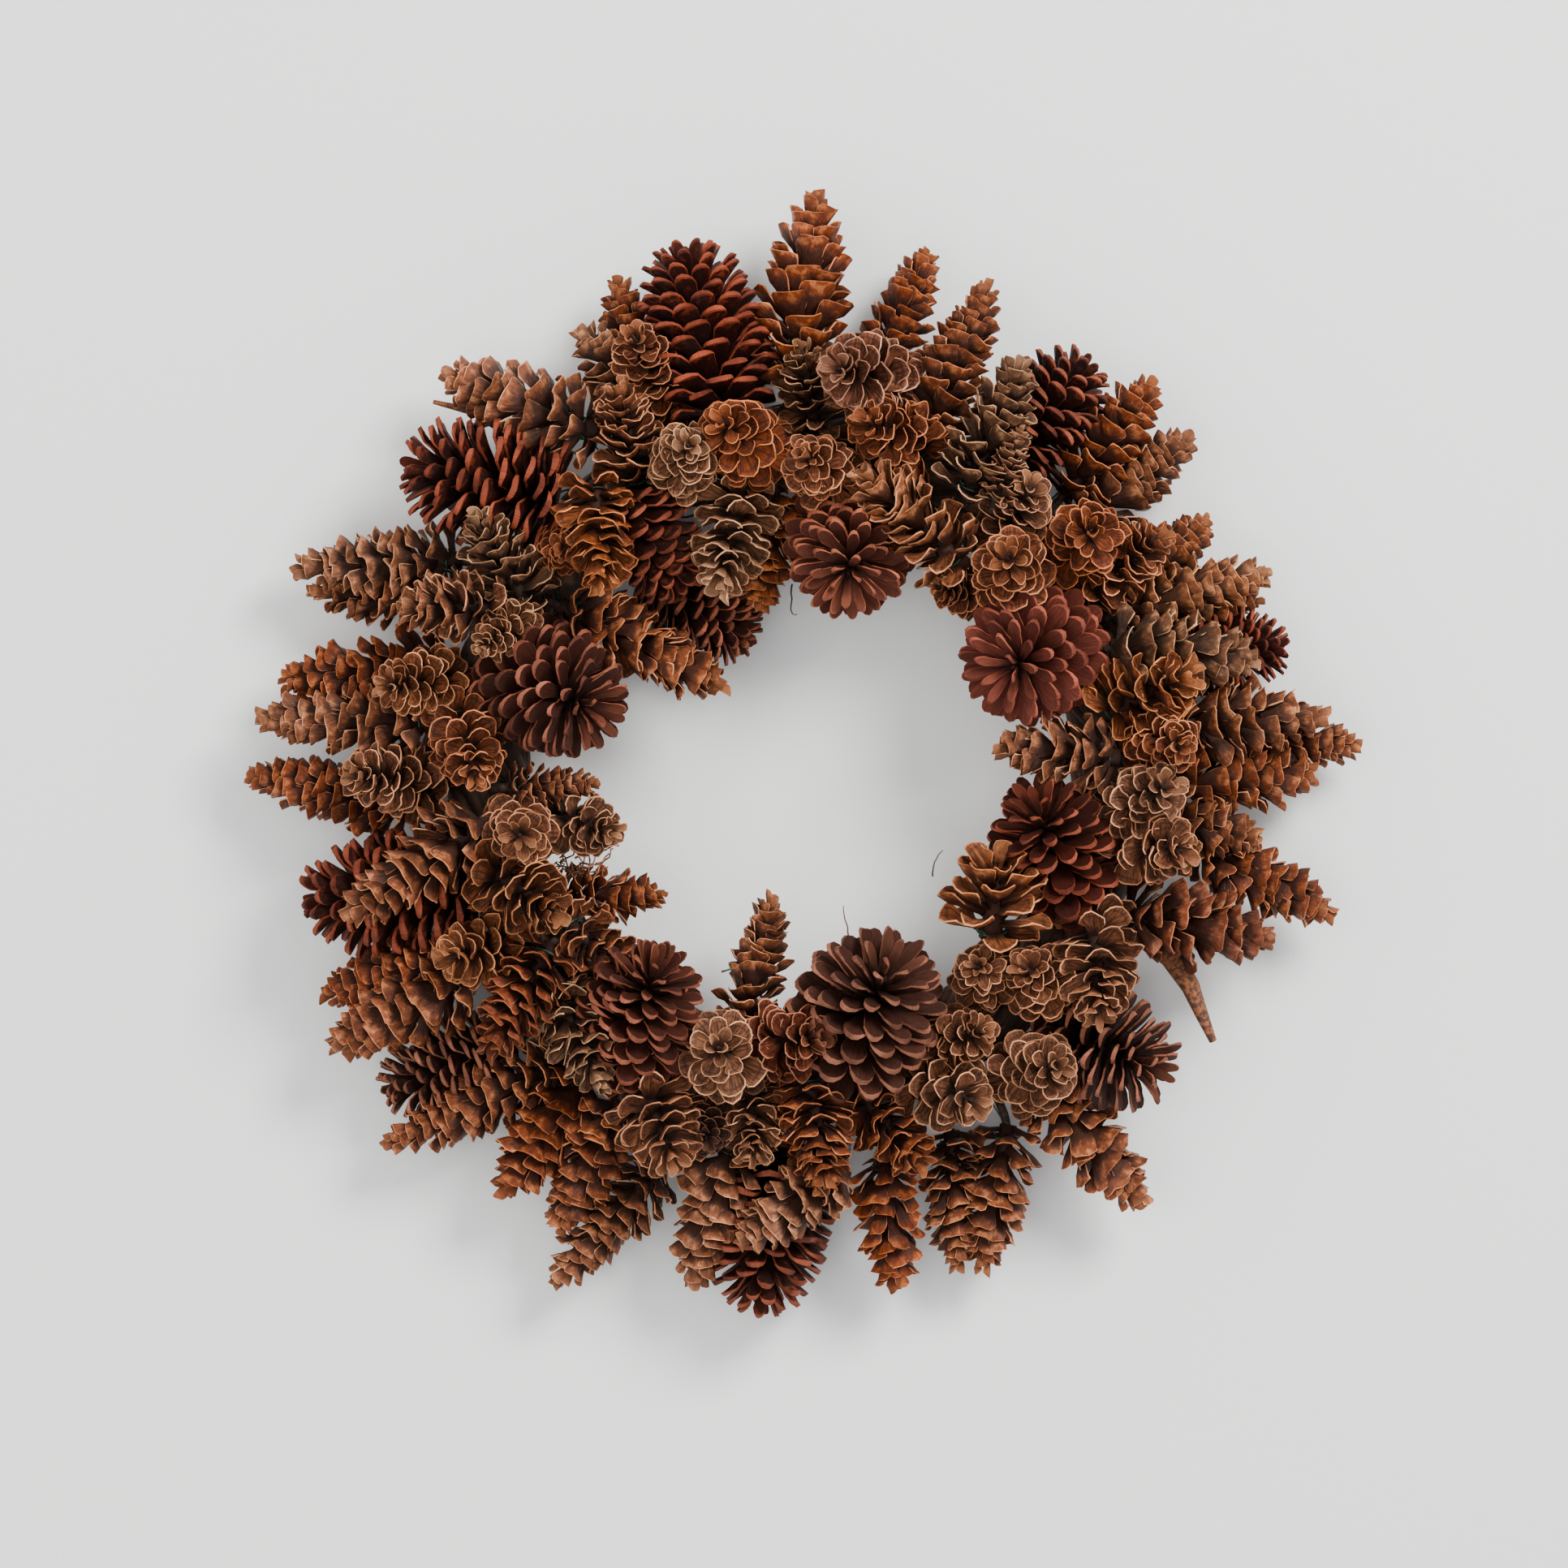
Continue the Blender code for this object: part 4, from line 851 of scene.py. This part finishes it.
def scales_round_a_core(name, lengths, leans, widths, last):
    """A cone along +Z: scales in a golden-angle spiral on a core, up to the last one's share."""
    inputs = {"Shape": "Object", "Count": "Int", "Length": "Float", "Core": "Float"}
    inputs |= {"Scale length": "Float", "Scale width": "Float", "Openness": "Float", "Turn": "Float"}
    inputs |= {"Raggedness": "Float", "Ageing": "Float", "Seed": "Int", "Finish": "Material"}
    tree, given = grower(name, inputs)
    ragged = given["Raggedness"]
    number = node(tree, "GeometryNodeInputIndex")
    share = (number + 0.5) / given["Count"]
    angle = number * GOLDEN_ANGLE + given["Turn"] + draw(given, 1, ragged * TURN_SPREAD)
    lean = follow(share, leans) * given["Openness"] * math.radians(FULL_LEAN)
    lean = lean + draw(given, 2, ragged * LEAN_SPREAD)
    long = follow(share, lengths) * given["Scale length"] * (draw(given, 3, ragged * LENGTH_SPREAD) + 1.0)
    wide = follow(share, widths) * given["Scale width"] * (draw(given, 4, ragged * WIDTH_SPREAD) + 1.0)
    deep = (wide + given["Scale width"]) * 0.5

    # Points in a spiral on the core, which keep the way their scales will bend
    core = given["Core"] * (share * -CORE_TAPER + 1.0)
    rise = share * (last - FIRST_SCALE) + FIRST_SCALE
    cosine, sine = calc("COSINE", angle), calc("SINE", angle)
    place = join_xyz(core * cosine, core * sine, rise * given["Length"])
    points = node(tree, "GeometryNodePoints", {"Count": given["Count"], "Position": place})
    inwards = calc("COSINE", lean) * -1.0
    inward = join_xyz(inwards * cosine, inwards * sine, calc("SINE", lean))
    curl = draw(given, 5, ragged * CURL_SPREAD) + CURL
    points = mark(points, "bend", scaled(inward, curl * long))
    points = mark(points, "grain", join_xyz(share, draw(given, 6, 0.5) + 0.5, number + 1.0))
    turned = join_xyz(draw(given, 7, ragged * ROLL_SPREAD), lean - math.pi / 2.0, angle)
    copies = {
        "Points": points,
        "Instance": node(tree, "GeometryNodeObjectInfo", {"Object": given["Shape"]}, "Geometry"),
        "Rotation": node(tree, "FunctionNodeEulerToRotation", {0: turned}),
        "Scale": join_xyz(long, wide, deep),
    }
    scales = node(tree, "GeometryNodeInstanceOnPoints", copies)
    scales = node(tree, "GeometryNodeRealizeInstances", {"Geometry": scales})

    # Each scale curls in towards its end and is warped a little, more so on a ragged cone
    along = split(carried(tree, "spot"))[1]
    arc = calc("POWER", along, 2.0) - calc("POWER", along, 7.0) * ARC_EASE
    apart = moved_by(node(tree, "GeometryNodeInputPosition"), scaled(carried(tree, "grain"), WARPS_APART))
    noise = node(tree, "ShaderNodeTexNoise", {"Vector": apart, "Scale": WARP_SCALE, "Detail": 1.0}, "Color")
    warp = scaled(moved_by(noise, (-0.5, -0.5, -0.5)), ragged * WARP * along)
    offset = moved_by(scaled(carried(tree, "bend"), arc), warp)
    scales = node(tree, "GeometryNodeSetPosition", {"Geometry": scales, "Offset": offset})
    scales = node(tree, "GeometryNodeRemoveAttribute", {"Geometry": scales, "Name": "bend"})

    spindle = {"Vertices": CORE_SIDES, "Side Segments": CORE_ROWS}
    spindle |= {"Radius Top": given["Core"] * CORE_TOP, "Radius Bottom": given["Core"] * CORE_FOOT}
    spindle |= {"Depth": given["Length"] * (last + CORE_BEYOND)}
    both = node(tree, "GeometryNodeJoinGeometry", {0: node(tree, "GeometryNodeMeshCone", spindle, "Mesh")})
    feed(both.socket.node, {0: scales})
    finish_grower(mark(both, "ageing", given["Ageing"], "FLOAT"), given["Finish"])
    return tree


def vectors(mesh, attribute):
    values = np.empty(3 * len(mesh.vertices))
    mesh.attributes[attribute].data.foreach_get("vector", values)
    return values.reshape(-1, 3)


def mean_of(values, number, count):
    """The mean of some vertices' values, for each scale."""
    sums = np.stack([np.bincount(number, axis, count) for axis in values.T], axis=1)
    return sums / np.maximum(np.bincount(number, minlength=count), 1)[:, None]


def square_to(along):
    """Two directions square to an axis and to each other."""
    side = unit(np.cross(along, SIDE_GUIDE))
    return side, np.cross(along, side)


def swung(out_part, up_part, angle):
    """What a part out from a hinge and a part up from it become, swung up by an angle."""
    cosine, sine = np.cos(angle), np.sin(angle)
    return out_part * cosine - up_part * sine, out_part * sine + up_part * cosine


def stand_cone(mesh, root, tip, room):
    """Stands a cone between its root and tip, with its crowded scales closed up."""
    points = mesh_points(mesh)
    spot, grain = vectors(mesh, "spot"), vectors(mesh, "grain")
    number = np.rint(grain[:, 2]).astype(int)
    count = number.max() + 1
    is_scale = number > 0
    begins, ends = is_scale & (spot[:, 1] < 0.01), is_scale & (spot[:, 1] > 0.99)
    base = mean_of(points[begins], number[begins], count)
    end = mean_of(points[ends], number[ends], count)
    base[0], end[0] = (1.0, 0.0, 0.0), (1.0, 0.0, 1.0)
    out = unit(base * (1.0, 1.0, 0.0))
    reach = end - base
    reach_out, reach_up = np.sum(reach * out, axis=1), reach[:, 2]

    along = unit(tip - root)
    turned = np.stack((*square_to(along), along))
    outward, limits = room
    closed = np.zeros(count)
    for _ in range(CLOSING_ROUNDS):
        out_now, up_now = swung(reach_out, reach_up, closed)
        now = base + out * out_now[:, None]
        now[:, 2] = base[:, 2] + up_now
        over = np.max((root + now @ turned) @ outward.T - limits, axis=1)
        still_open = out_now > LEAST_SPREAD * np.linalg.norm(reach, axis=1)
        closed += np.where((over > CROWDING) & still_open, CLOSING_STEP, 0.0)
    closed[0] = 0.0

    outs = out[number]
    local = points - base[number]
    away = np.sum(local * outs, axis=1)
    away_now, up_now = swung(away, local[:, 2], closed[number])
    moved = points + outs * (away_now - away)[:, None]
    moved[:, 2] = base[number][:, 2] + up_now
    moved[~is_scale] = points[~is_scale]
    put_in_frame(mesh, root + moved @ turned)


def nearest_on_vine(place):
    """The nearest point of the vine's own centre line."""
    flat = np.array((place[0], place[1], 0.0))
    return flat / np.linalg.norm(flat) * RING_RADIUS + (0.0, 0.0, VINE_HEIGHT)


def stalk_mesh(root, tip, finish):
    """The cone's own stalk, bent down into the vine."""
    start = root + STALK_START * (tip - root)
    middle = root + STALK_BEND * (tip - root)
    centre = nearest_on_vine(root)
    end = centre + unit(root - centre) * VINE_RADIUS * STALK_REACH
    route = []
    for step in range(STALK_STEPS + 1):
        share = step / STALK_STEPS
        route.append((1 - share) ** 2 * start + 2 * share * (1 - share) * middle + share**2 * end)
    return wire_mesh("stalk", route, STALK_RADIUS, finish)


def wrap_mesh(root, tip, radius, finish):
    """Green wire round a cone's stalk end, with its tail drawn down to the vine."""
    along = unit(tip - root)
    side, up = square_to(along)
    middle = root + WRAP_PLACE * (tip - root)
    route = []
    for step in range(WRAP_STEPS + 1):
        angle = math.tau * WRAP_TURNS * step / WRAP_STEPS
        turn = side * math.cos(angle) + up * math.sin(angle)
        route.append(middle + turn * radius + along * WRAP_LENGTH * step / WRAP_STEPS)
    centre = nearest_on_vine(root)
    end = centre + unit(route[-1] - centre) * (VINE_RADIUS + TAIL_CLEARANCE)
    route += [(route[-1] + end) / 2.0 + side * TAIL_SLACK, end]
    return wire_mesh("wrap", route, WRAP_RADIUS, finish, sides=4)


SCALE_COLOURS = ("Inside", "Outside", "Rim", "Dark marks and shade", "Bleached and highlight")
# Inside, outside, rim, dark marks and painted shade, and bleached tip and painted highlight of each tone
SLIM_TONES = {
    "brown": (
        (0.165, 0.052, 0.0175), (0.150, 0.0435, 0.0138), (0.50, 0.203, 0.085),
        (0.025, 0.0115, 0.0085), (0.45, 0.178, 0.070),
    ),
    "golden": (
        (0.232, 0.080, 0.026), (0.197, 0.060, 0.0175), (0.56, 0.238, 0.093),
        (0.034, 0.0150, 0.0095), (0.52, 0.225, 0.090),
    ),
    "grey": (
        (0.120, 0.044, 0.016), (0.096, 0.033, 0.011), (0.42, 0.200, 0.088),
        (0.018, 0.009, 0.006), (0.37, 0.175, 0.080),
    ),
    "rose": (
        (0.170, 0.056, 0.024), (0.150, 0.046, 0.020), (0.40, 0.185, 0.100),
        (0.018, 0.008, 0.006), (0.38, 0.18, 0.100),
    ),
    "pale": (
        (0.210, 0.076, 0.028), (0.200, 0.072, 0.028), (0.52, 0.250, 0.115),
        (0.028, 0.013, 0.008), (0.50, 0.245, 0.120),
    ),
    "red": (
        (0.135, 0.036, 0.012), (0.130, 0.031, 0.010), (0.30, 0.110, 0.045),
        (0.016, 0.006, 0.004), (0.28, 0.11, 0.050),
    ),
    "dark": (
        (0.045, 0.015, 0.007), (0.050, 0.014, 0.006), (0.15, 0.055, 0.026),
        (0.007, 0.003, 0.002), (0.16, 0.06, 0.030),
    ),
}
SLIM_WEAR = {"Side rim": 0.042, "Inner end": 0.021, "Outer end": 0.034}
SLIM_WEAR |= {"Wing marks": 0.8, "Streaks": 0.80, "Outer shine": 0.28}
SLIM_GLOSS = 0.13
WING_HALF_WIDTH, WING_LENGTH = 0.74, 0.84  # of the prints that the seeds' wings leave, to the scale's
STREAKS_APART = 3.71  # from one scale's place in the streaks' noise to the next one's
STALK_COLOURS = ((0.012, 0.006, 0.004), (0.055, 0.026, 0.014))
WIRE_GREEN, WIRE_GREEN_WORN = (0.010, 0.060, 0.028), (0.006, 0.016, 0.010)


def scale_marks():
    """A scale's colours, sheen and relief: streaks, painted shade towards the core, pale rim, stained outer
    face with painted highlights.
    """
    inputs = dict.fromkeys(SCALE_COLOURS, "Color") | dict.fromkeys(SLIM_WEAR, "Float")
    outputs = {"Colour": "Color", "Roughness": "Float", "Height": "Float"}
    tree, given = node_group("scale_marks", "ShaderNodeTree", inputs, outputs)
    across, along, outer = split(read(tree, "spot"))
    place, tint, number = split(read(tree, "grain"))
    off_middle = calc("ABSOLUTE", across)

    # Noise that runs along each scale, and noise that runs through the whole wreath
    own = number * STREAKS_APART
    lengthwise = join_xyz(across * 2.6 + own, along * 0.9, own)
    streaks = noise_at(lengthwise, 2.6, 5.0)
    fine_streaks = noise_at(lengthwise, 9.0, 3.0)
    here = object_place(tree)
    blotches = noise_at(here, 230.0, 4.0)
    patches = noise_at(here, 55.0, 2.0)
    grit = noise_at(here, 1500.0, 3.0)

    # The outer face is 1 against the inner face's 0, and so is the rim against the rest
    outside = ramp(outer, 0.25, 0.75)
    blade = ramp(along, 0.30, 0.60)
    side_edge = ramp(off_middle, 1.0 - given["Side rim"], 1.0)
    end_width = (given["Outer end"] - given["Inner end"]) * outside + given["Inner end"]
    end_edge = ramp(along, 1.0 - end_width, 1.0)
    edge = calc("MAXIMUM", side_edge * blade, end_edge) + (fine_streaks * 0.6 - 0.30)
    rim = ramp(edge, 0.35, 0.70)

    # Inside, the print that the two seeds' wings have left: its outline, midline and lobes
    wing = calc("MAXIMUM", off_middle / WING_HALF_WIDTH, along / WING_LENGTH)
    wing = calc("ABSOLUTE", wing - 1.0)
    outlined = ramp(wing, 0.09, 0.0, 0.0, 0.8) * blade
    midline = ramp(off_middle, 0.12, 0.0, 0.0, 0.8) * ramp(along, 0.95, 0.60)
    lines = calc("MAXIMUM", outlined, midline) * given["Wing marks"]
    lobe = ramp(wing, 0.25, 0.75) * ramp(off_middle, 0.10, 0.30) * blade * given["Wing marks"]
    inside = blend_colour(ramp(streaks, 0.64, 0.36) * given["Streaks"], given["Inside"], given["Dark marks and shade"])
    inside = blend_colour(lines, inside, given["Dark marks and shade"])
    inside = blend_colour(lobe * 0.7, inside, given["Bleached and highlight"])
    face = blend_colour(ramp(blotches, 0.44, 0.70, 0.0, 0.60), given["Outside"], given["Dark marks and shade"])
    # Pale patches on the outer face are painted highlights
    face = blend_colour(ramp(blotches, 0.50, 0.34, 0.0, 0.50), face, given["Bleached and highlight"])
    colour = blend_colour(outside, inside, face)

    # Painted shade, darker towards the core on both faces, then the pale rim, and bleached at the cone's
    # tip
    depth = streaks * 0.34 + along
    inner_painted_shade = ramp(depth, 0.66, 0.26, 0.0, 0.94)
    outer_painted_shade = ramp(depth, 1.12, 0.78, 0.0, 0.92) * ramp(place, 0.98, 0.74, 0.5, 1.0)
    painted_core_shade = (outer_painted_shade - inner_painted_shade) * outside + inner_painted_shade
    colour = blend_colour(painted_core_shade, colour, given["Dark marks and shade"])
    colour = blend_colour(rim * ramp(patches, 0.32, 0.62, 0.30, 1.0), colour, given["Rim"])
    tip_wear = ramp(place, 0.84, 1.0) * ramp(along, 0.30, 0.85, 0.06, 0.50) * (outside * -0.55 + 1.0)
    colour = blend_colour(tip_wear, colour, given["Bleached and highlight"])

    # No two scales and no two cones are quite alike
    shade = (tint * 0.60 + 0.82) * (patches * 0.8 + 0.60)
    ageing = read(tree, "ageing", "Fac")
    aged = {"Hue": ageing * 0.007 + 0.496, "Saturation": ageing * -0.08 + 1.0, "Value": ageing * 0.10 + 1.0}
    lit = node(tree, "ShaderNodeHueSaturation", {"Color": scaled(colour, shade)} | aged)
    shine = outside * given["Outer shine"] * ramp(patches, 0.32, 0.58)
    rough = (blotches * 0.25 + 0.52) - shine * 1.25
    relief = fine_streaks * 0.6 + streaks * 0.8 + grit * 0.16
    feed(tree.nodes.new("NodeGroupOutput"), {0: lit, 1: rough, 2: relief})
    return tree


def scale_materials(kind, tones, wear, gloss):
    """One material for each tone of a kind of cone, all with the same marks."""
    finishes = {}
    for tone, colours in tones.items():
        finishes[tone], tree, shader = new_material(f"{tone} {kind} scales")
        own = {label: (*colour, 1.0) for label, colour in zip(SCALE_COLOURS, colours)}
        marked = node(tree, "ShaderNodeGroup", own | wear, "Colour", node_tree=marks)
        relief = bump(marked.also("Height"), 1.0, 0.0012)
        feed(shader, {"Base Color": marked, "Roughness": marked.also("Roughness")})
        feed(shader, {"Normal": relief, "Specular IOR Level": gloss})
    return finishes


def dress_cone(index, shape, tree, kind, finish):
    """One cone in its place, with its stalk; its wire goes with the binding."""
    root, tip, radius = roots[index], tips[index], radii[index]
    length = float(np.linalg.norm(tip - root))
    core = radius * kind["core"]
    standing = max(0.0, float(unit(tip - root)[2]))
    narrow = 1.0 - kind["narrowing"] * standing
    width_share = kind["width"] * narrow
    openness = kind["lying"] + (kind["standing"] - kind["lying"]) * standing
    openness *= draws.uniform(*OPENNESS_RANGE)
    reach_share = math.sin(math.radians(FULL_LEAN * kind["middle lean"]) * openness)
    values = {"Shape": shape, "Length": length, "Core": core, "Openness": openness}
    values["Count"] = int(length / (2.0 * radius * kind["spacing"] * narrow))
    values["Scale length"] = (radius - core) * SCALE_REACH / reach_share
    values["Scale width"] = 2.0 * radius * width_share * draws.uniform(*WIDTH_RANGE)
    values["Turn"] = draws.uniform(0.0, math.tau)
    values["Raggedness"] = kind["raggedness"] * draws.uniform(*RAGGED_RANGE)
    values["Ageing"] = draws.uniform(-1.0, 1.0)
    mesh = grown(tree, values | {"Seed": index, "Finish": finish})
    stand_cone(mesh, root, tip, room_for(index))
    wraps.append(wrap_mesh(root, tip, core + WRAP_CLEARANCE, green))
    return [mesh, stalk_mesh(root, tip, stalk_wood)]


def dress_bunches(kind_name, shape, tree, kind, finishes):
    """The cones of each bunch of one kind as one piece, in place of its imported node."""
    for place, (name, _) in enumerate(bunches):
        if not name.startswith(kind_name):
            continue
        meshes = []
        for index in np.flatnonzero(bunch_of == place).tolist():
            meshes += dress_cone(index, shape, tree, kind, finishes[cones[index][3]])
        piece = one_piece(name + "_scales", meshes)
        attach(piece, "root")
        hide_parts(name)
    bpy.data.objects.remove(shape, do_unlink=True)


marks = scale_marks()
stalk_wood = plain_wood("stalk wood", *STALK_COLOURS)
green = wire_material("green wire", WIRE_GREEN, WIRE_GREEN_WORN, metallic=0.35, roughness=0.42)
draws = np.random.default_rng(CONE_SEED)
wraps = []
slim_finishes = scale_materials("slim", SLIM_TONES, SLIM_WEAR, SLIM_GLOSS)
slim_shape = scale_shape("slim_scale", SLIM_GRID, SLIM_OUTLINE, SLIM_SWELL, **SLIM_SCALE)
slim_tree = scales_round_a_core("slim_cone", SLIM_LENGTHS, SLIM_LEANS, SLIM_WIDTHS, SLIM_LAST)
dress_bunches("slim_cones", slim_shape, slim_tree, SLIM_CONE, slim_finishes)


# The broad cones
# Heavy dark cones of another pine, with thick strap-like scales that end in a blunt, glossy
# copper-brown face. They are wired on among the slim ones.

BROAD_OUTLINE = ((0.0, 0.70), (0.35, 0.76), (0.65, 0.90), (0.86, 1.0), (1.0, 1.04))
BROAD_SWELL = ((0.0, 0.14), (0.50, 0.08), (0.78, 0.13), (0.92, 0.20), (1.0, 0.13))
BROAD_SCALE = {"rounding": 0.24, "dish": 0.05, "rim": 0.10, "lip": 0.010, "keel": 2.4}
BROAD_GRID = (6, 4)
BROAD_CONE = {
    "width": 0.214, "narrowing": 0.24, "core": 0.22, "spacing": 0.0124, "middle lean": 0.60,
    "lying": 0.82, "standing": 1.04, "raggedness": 0.42,
}
BROAD_LENGTHS = ((0.0, 0.62), (0.15, 0.86), (0.40, 0.96), (0.70, 0.94), (0.90, 0.82), (1.0, 0.50))
BROAD_LEANS = ((0.0, 0.94), (0.25, 0.76), (0.55, 0.62), (0.80, 0.50), (0.93, 0.36), (1.0, 0.12))
BROAD_WIDTHS = ((0.0, 0.96), (0.25, 1.06), (0.50, 0.96), (0.75, 0.66), (1.0, 0.36))
BROAD_LAST = 0.78
BROAD_TONES = {
    "dark": (
        (0.037, 0.0092, 0.0046), (0.017, 0.0048, 0.0030), (0.195, 0.058, 0.028),
        (0.0125, 0.0046, 0.0031), (0.160, 0.045, 0.019),
    ),
    "red": (
        (0.070, 0.0165, 0.0082), (0.022, 0.0062, 0.0036), (0.270, 0.066, 0.025),
        (0.0135, 0.0046, 0.0031), (0.210, 0.055, 0.024),
    ),
    "dusty": (
        (0.110, 0.0305, 0.0178), (0.040, 0.0112, 0.0066), (0.215, 0.062, 0.033),
        (0.0170, 0.0058, 0.0042), (0.22, 0.070, 0.038),
    ),
}
BROAD_WEAR = {"Side rim": 0.035, "Inner end": 0.016, "Outer end": 0.10}
BROAD_WEAR |= {"Wing marks": 0.0, "Streaks": 0.35, "Outer shine": 0.20}
BROAD_GLOSS = 0.12

broad_finishes = scale_materials("broad", BROAD_TONES, BROAD_WEAR, BROAD_GLOSS)
broad_shape = scale_shape("broad_scale", BROAD_GRID, BROAD_OUTLINE, BROAD_SWELL, **BROAD_SCALE)
broad_tree = scales_round_a_core("broad_cone", BROAD_LENGTHS, BROAD_LEANS, BROAD_WIDTHS, BROAD_LAST)
dress_bunches("broad_cone", broad_shape, broad_tree, BROAD_CONE, broad_finishes)


# The binding wire
# Thin green florist's wire. One length winds round the whole ring, and short ends of it go
# round each cone's stalk end and down to the vine.

BINDING_RADIUS = 0.6
BINDING_CLEARANCE = 0.8
BINDING_TURNS = 9
BINDING_START = 94.0
BINDING_SWEEP = 352.0
STEPS_PER_TURN = 24
LOOSE_END = ((-24.0, -124.0, 52.0), (-29.0, -113.0, 60.0), (-36.0, -110.5, 63.0), (-41.0, -112.0, 64.0))


def binding_route():
    """Round and round the vine, from beside the hanging loop to the loop's other side."""
    reach = VINE_RADIUS + BINDING_CLEARANCE
    steps = BINDING_TURNS * STEPS_PER_TURN
    points = []
    for step in range(steps + 1):
        turn = math.radians(BINDING_START + BINDING_SWEEP * step / steps)
        points.append(round_the_vine(turn, math.tau * step / STEPS_PER_TURN, reach))
    return points


turns = wire_mesh("binding", binding_route(), BINDING_RADIUS, green)
loose_end = wire_mesh("loose_end", LOOSE_END, BINDING_RADIUS, green)
binding = one_piece("green_binding", [turns, loose_end] + wraps)
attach(binding, "root")
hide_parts("binding_wire")


# The wall
# A painted wall, pale and faintly textured, which the wreath hangs against. It isn't part of
# the object.

WALL_SIZE = 12.0
WALL_PAINT = (0.70, 0.70, 0.695)


def wall_material():
    """Painted plaster, seen only from the room's side."""
    made, tree, shader = new_material("painted wall")
    here = object_place(tree)
    relief = noise_at(here, 480.0, 3.0) * 0.35 + noise_at(here, 120.0, 4.0)
    feed(shader, {"Normal": bump(relief, 0.10, 0.0015), "Base Color": (*WALL_PAINT, 1.0)})
    feed(shader, {"Roughness": 0.85, "Specular IOR Level": 0.25})
    back = node(tree, "ShaderNodeNewGeometry", output="Backfacing")
    clear = node(tree, "ShaderNodeBsdfTransparent")
    sided = node(tree, "ShaderNodeMixShader", {0: back, 1: Value(shader.outputs[0]), 2: clear})
    feed(tree.nodes["Material Output"], {"Surface": sided})
    return made


bpy.ops.mesh.primitive_plane_add(size=WALL_SIZE, rotation=(math.pi / 2.0, 0.0, 0.0))
wall = bpy.context.active_object
wall.name = "wall"
wall.data.materials.append(wall_material())
wall.visible_shadow = False


# The light
# Soft daylight from the upper right, with a weaker fill from the left, as in a bright room.

ROOM_LIGHT = 1.10
ROOM_COLOUR = (0.97, 0.98, 1.0, 1.0)
LAMPS = (
    # name, (across, towards the wall, up) in metres, size, watts, colour
    ("window", (1.6, -2.6, 1.5), 1.3, 215.0, (1.0, 0.985, 0.965)),
    ("room_fill", (-2.2, -2.6, 0.2), 2.4, 52.0, (1.0, 0.975, 0.94)),
    ("front_fill", (-0.5, -3.6, -0.6), 2.0, 55.0, (1.0, 0.99, 0.97)),
    ("behind_fill", (0.6, 2.4, 0.8), 2.4, 26.0, (1.0, 1.0, 1.0)),
)
LIT_POINT = (0.0, -0.05, -0.21)

for name, place, size, watts, colour in LAMPS:
    lamp = bpy.data.lights.new(name, "AREA")
    lamp.size = size
    lamp.energy = watts
    lamp.color = colour
    holder = bpy.data.objects.new(name, lamp)
    holder.location = place
    aim = np.array(LIT_POINT) - np.array(place)
    holder.rotation_mode = "QUATERNION"
    holder.rotation_quaternion = Vector(aim).to_track_quat("-Z", "Y")
    bpy.context.scene.collection.objects.link(holder)

room = bpy.data.worlds.new("room")
room.use_nodes = True
room.node_tree.nodes["Background"].inputs["Color"].default_value = ROOM_COLOUR
room.node_tree.nodes["Background"].inputs["Strength"].default_value = ROOM_LIGHT
bpy.context.scene.world = room


# The camera
# Square on to the wall from well back, a little to the left of the wreath's centre and below
# it, as the photograph was framed.

MM_PER_PIXEL = 0.43
IMAGE_PIXELS = 1932
VIEW_DISTANCE = 8.0
VIEW_CENTRE = (-0.0082, -0.2253)
SENSOR_WIDTH = 36.0

lens = bpy.data.cameras.new("front")
lens.sensor_width = SENSOR_WIDTH
lens.lens = SENSOR_WIDTH * VIEW_DISTANCE / (MM_PER_PIXEL * MM * IMAGE_PIXELS)
camera = bpy.data.objects.new("front", lens)
camera.location = (VIEW_CENTRE[0], -VIEW_DISTANCE, VIEW_CENTRE[1])
camera.rotation_euler = (math.pi / 2.0, 0.0, 0.0)
bpy.context.scene.collection.objects.link(camera)
bpy.context.scene.camera = camera
